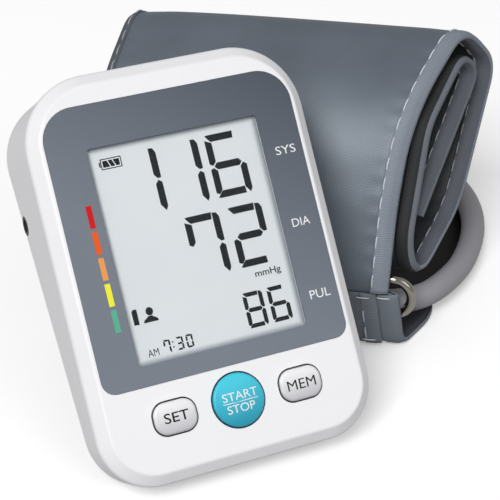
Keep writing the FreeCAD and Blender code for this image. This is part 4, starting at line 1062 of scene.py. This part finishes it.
# Lettering: the words, the box that they fill, where they lie and, for some, how bold they are
LABELS = [
    ("label_sys", "SYS", (35.6, 18.4, 43.2, 21.4), ON_PANEL),
    ("label_dia", "DIA", (35.2, -7.7, 42.0, -4.75), ON_PANEL),
    ("label_pul", "PUL", (35.2, -34.1, 43.0, -31.0), ON_PANEL),
    ("label_unit", "mmHg", (17.9, -22.5, 27.7, -19.4), ON_GLASS, 0.01),
    ("label_am", "AM", (-26.9, -39.9, -22.9, -37.4), ON_GLASS),
    ("label_set", "SET", (-28.0, -63.3, -19.0, -59.8), ON_SET, 0.008),
    ("label_memory", "MEM", (18.2, -63.4, 28.9, -59.9), ON_MEMORY),
    ("label_start", "START", (-6.1, -61.4, 6.9, -58.5), ON_START),
    ("label_stop", "STOP", (-5.2, -65.8, 5.1, -62.9), ON_START),
]

# Coloured marks beside the window, from the top down
MARK_COLOURS = ["mark_red", "mark_orange", "mark_apricot", "mark_yellow", "mark_green"]
MARK_LEFT = -36.85
MARK_RIGHT = -34.85
MARK_TOP = 15.15
MARK_PITCH = 9.1
MARK_HEIGHT = 7.85

# Seal in the gap round a button, its dark colour painted shade for the gap: how far out from the button's
# edge, and height over the face
LIP_SECTION = [
    (0.08, -1.4), (0.08, 0.02), (0.2, 0.08), (0.48, 0.08), (0.58, 0.01), (0.42, 0.01), (0.42, -1.4),
]
START_SIDES = 72
CORNER_PARTS = 12


def plates(name, outlines, level, material, body, slot):
    """Thin printed shapes on the face, each an outline of (across, up) points."""
    work = bmesh.new()
    for outline in outlines:
        low = [face_point(x, y, level(x, y)) for x, y in outline]
        high = [face_point(x, y, level(x, y) + INK_THICKNESS) for x, y in outline]
        add_skin(work, [low, high])
    place_piece(work, name, [material], body, slot)


def digit(mark, left, low, width, top, bar):
    """Outlines of a seven-segment digit with mitred ends."""
    gap = bar * DIGIT_GAP
    near = gap / 2
    half = bar / 2
    middle = top / 2
    right = width - bar
    shapes = {
        "a": [
            (gap, top - near), (gap + half * 0.8, top), (right - near, top),
            (right - gap, top - bar), (bar * 0.9, top - bar),
        ],
        "b": [
            (right, top - gap * 0.6), (width - half * 0.7, top - gap), (width, top - bar * 0.8),
            (width, middle + gap), (width - half, middle + near), (right, middle + half + gap),
        ],
        "c": [
            (width - half, middle - gap * 0.8), (width, middle - half), (width, bar * 0.6),
            (width - half * 0.7, 0.0), (right, bar * 0.9), (right, middle - half - gap),
        ],
        "d": [(gap, near), (gap + half * 0.8, 0.0), (right, 0.0), (right - near, bar), (bar * 0.95, bar)],
        "e": [
            (0.0, bar * 0.8), (half, gap * 2 + half * 0.4), (bar, bar + gap),
            (bar, middle - half - gap), (half * 0.9, middle - gap), (0.0, middle - half * 0.8),
        ],
        "f": [
            (0.0, middle + half * 0.8), (half, middle + gap * 0.8), (bar, middle + half + gap),
            (bar, top - bar - gap), (0.0, top - bar * 0.7),
        ],
        "g": [
            (gap + half * 0.9, middle), (bar + near, middle + half), (right - near, middle + half),
            (width - half - gap, middle), (right - near, middle - half), (bar + near, middle - half),
        ],
    }
    return [[(left + x, low + y) for x, y in shapes[name]] for name in SEGMENTS[mark]]


def digits(rows):
    outlines = []
    for low, width, height, bar, marks in rows:
        for mark, left in marks:
            outlines += digit(mark, left, low, width, height, bar)
    return outlines


def battery_sign():
    """A cell with three slanted bars inside a thin frame."""
    left, low, right, high = CELL_BOX
    shapes = [
        box(left, low, right, low + CELL_LINE),
        box(left, high - CELL_LINE, right, high),
        box(left, low + CELL_LINE, left + CELL_LINE, high - CELL_LINE),
        box(right - CELL_LINE, low + CELL_LINE, right, high - CELL_LINE),
        CELL_TIP,
    ]
    start = left + CELL_MARGIN
    length = right - CELL_MARGIN - start
    edges = [(start, start)]
    for share in CELL_CUTS:
        edges.append((start + length * share + CELL_SLANT, start + length * share - CELL_SLANT))
    edges.append((start + length, start + length))
    bottom, top = low + CELL_MARGIN, high - CELL_MARGIN
    for first, second in zip(edges[0::2], edges[1::2]):
        shapes.append([(first[0], bottom), (second[0], bottom), (second[1], top), (first[1], top)])
    return shapes


def user_sign():
    """The first user's mark: an upright bar, and a head with shoulders."""
    across, up = USER_HEAD
    wide, high = USER_HEAD_RADII
    head = [(across + wide * cos, up + high * sin) for cos, sin in circle(USER_HEAD_SIDES)]
    return [USER_BAR, head, USER_SHOULDERS]


def make_display():
    plates("display_digits", digits(BIG_DIGITS), *ON_GLASS)
    small = digits(CLOCK_DIGITS)
    small += [box(left, low, left + DOT_SIZE, low + DOT_SIZE) for left, low in CLOCK_DOTS]
    plates("display_signs", small + battery_sign() + user_sign(), *ON_GLASS)


def label(name, text, area, place, weight=0.0):
    """Plain lettering that fills a box on the face, drawn bolder by its weight."""
    level, material, body, slot = place
    left, low, right, high = area
    data = bpy.data.curves.new(name, "FONT")
    data.body = text
    data.extrude = LETTER_DEPTH
    data.offset = weight
    data.resolution_u = LETTER_SMOOTHNESS
    source = add_object(name + "_source", data)
    bpy.context.view_layer.update()
    letters = bpy.data.meshes.new_from_object(source)
    work = bmesh.new()
    work.from_mesh(letters)
    bpy.data.objects.remove(source)
    bpy.data.curves.remove(data)
    bpy.data.meshes.remove(letters)
    xs = sorted(vertex.co.x for vertex in work.verts)
    ys = sorted(vertex.co.y for vertex in work.verts)
    for vertex in work.verts:
        x = left + (vertex.co.x - xs[0]) / (xs[-1] - xs[0]) * (right - left)
        y = low + (vertex.co.y - ys[0]) / (ys[-1] - ys[0]) * (high - low)
        out = level(x, y) + (INK_THICKNESS if vertex.co.z > 0 else 0.0)
        vertex.co = face_point(x, y, out)
    bmesh.ops.remove_doubles(work, verts=work.verts, dist=SAME_PLACE)
    place_piece(work, name, [material], body, slot)


def make_labels():
    for row in LABELS:
        label(*row)
    steps = [LINE_LEFT + (LINE_RIGHT - LINE_LEFT) * part / LINE_PARTS for part in range(LINE_PARTS + 1)]
    bar = [(x, LINE_LOW) for x in steps] + [(x, LINE_LOW + LINE_HEIGHT) for x in reversed(steps)]
    plates("label_line", [bar], line_level, *ON_START[1:])


def make_level_marks():
    for index, colour in enumerate(MARK_COLOURS):
        high = MARK_TOP - MARK_PITCH * index
        outline = box(MARK_LEFT, high - MARK_HEIGHT, MARK_RIGHT, high)
        plates(colour, [outline], panel_level, colour, *ON_PANEL[2:])


def side_outline(middle, grow):
    """Points round a side button's edge, moved out from it."""
    reach = SIDE_CORNER + grow
    points = []
    for corner, (right, up) in enumerate(((1, 1), (-1, 1), (-1, -1), (1, -1))):
        across = middle + right * (SIDE_HALF[0] - SIDE_CORNER)
        height = BUTTON_ROW + up * (SIDE_HALF[1] - SIDE_CORNER)
        for step in range(CORNER_PARTS + 1):
            angle = math.pi / 2 * (corner + step / CORNER_PARTS)
            points.append((across + reach * math.cos(angle), height + reach * math.sin(angle)))
    return points


def make_button_lips():
    """Thin dark seal in the gap round each button, its darkness painted shade for the gap."""
    loops = {"start_lip": [], "set_lip": [], "memory_lip": []}
    for grow, level in LIP_SECTION:
        reach = START_RADIUS + grow
        outlines = (
            [(reach * cos, BUTTON_ROW + reach * sin) for cos, sin in circle(START_SIDES)],
            side_outline(-BUTTON_PITCH, grow),
            side_outline(BUTTON_PITCH, grow),
        )
        for loop, outline in zip(loops.values(), outlines):
            loop.append([face_point(x, y, level) for x, y in outline])
    for name, loop in loops.items():
        finish = "seal_and_shade_blue" if name == "start_lip" else "seal_and_shade_dark"
        loft(name, list(zip(*loop)), [finish], "monitor", "case_white", closed=True)


make_display()
make_labels()
make_level_marks()
make_button_lips()


# Every CAD node keeps its shape and takes the finish of its slot
for entry in frame["record"]["subparts"]:
    surface = nodes[entry["node"]].data.materials
    surface.clear()
    surface.append(FINISH[entry["material_slot"]])


# Floor and light
FLOOR_HALF = 6.0
FLOOR_SEEN = 0.96
FLOOR_CAST = 0.36
FLOOR_GLOW = 0.26
WORLD_LIGHT = 0.36
LAMP_AIM = Vector((0.0, 0.0, 0.05))
# Each lamp's place, size and power
LAMPS = {"key": ((-1.45, -1.5, 2.0), 1.25, 51.0), "fill": ((0.9, -2.3, 1.7), 1.6, 9.0)}


def make_floor():
    """White table that takes soft shadows and throws little light back on the part."""
    mesh = bpy.data.meshes.new("floor")
    corners = box(-FLOOR_HALF, -FLOOR_HALF, FLOOR_HALF, FLOOR_HALF)
    mesh.from_pydata([(x, y, 0) for x, y in corners], [], [(0, 1, 2, 3)])
    material = bpy.data.materials.new("floor_white")
    material.use_nodes = True
    mesh.materials.append(material)
    tree = material.node_tree
    tree.nodes.clear()
    path = add_node(tree, "ShaderNodeLightPath").outputs
    colour = mix_colour(tree, path["Is Camera Ray"], grey(FLOOR_CAST), grey(FLOOR_SEEN))
    matte = add_node(tree, "ShaderNodeBsdfDiffuse", {"Color": colour}).outputs[0]
    seen = reckon(tree, "MAXIMUM", path["Is Camera Ray"], path["Is Glossy Ray"])
    seen = reckon(tree, "MAXIMUM", seen, path["Is Transmission Ray"])
    strength = reckon(tree, "MULTIPLY", seen, FLOOR_GLOW)
    glow = add_node(tree, "ShaderNodeEmission", {"Strength": strength}).outputs[0]
    both = add_node(tree, "ShaderNodeAddShader", {0: matte, 1: glow}).outputs[0]
    add_node(tree, "ShaderNodeOutputMaterial", {"Surface": both})
    add_object("floor", mesh)


def make_world():
    """White to the camera, and a softer light on everything else."""
    world = bpy.data.worlds.new("studio")
    world.use_nodes = True
    tree = world.node_tree
    tree.nodes.clear()
    path = add_node(tree, "ShaderNodeLightPath").outputs
    seen = reckon(tree, "MAXIMUM", path["Is Camera Ray"], path["Is Transmission Ray"])
    strength = reckon(tree, "MAXIMUM", seen, WORLD_LIGHT)
    sky = add_node(tree, "ShaderNodeBackground", {"Color": grey(1.0), "Strength": strength}).outputs[0]
    add_node(tree, "ShaderNodeOutputWorld", {"Surface": sky})
    bpy.context.scene.world = world


def make_lamps():
    for name, (place, size, power) in LAMPS.items():
        data = bpy.data.lights.new(name, "AREA")
        data.size = size
        data.energy = power
        lamp = add_object(name, data)
        lamp.location = place
        lamp.rotation_euler = (LAMP_AIM - Vector(place)).to_track_quat("-Z", "Y").to_euler()


make_floor()
make_world()
make_lamps()

bpy.context.scene.view_settings.view_transform = "Standard"
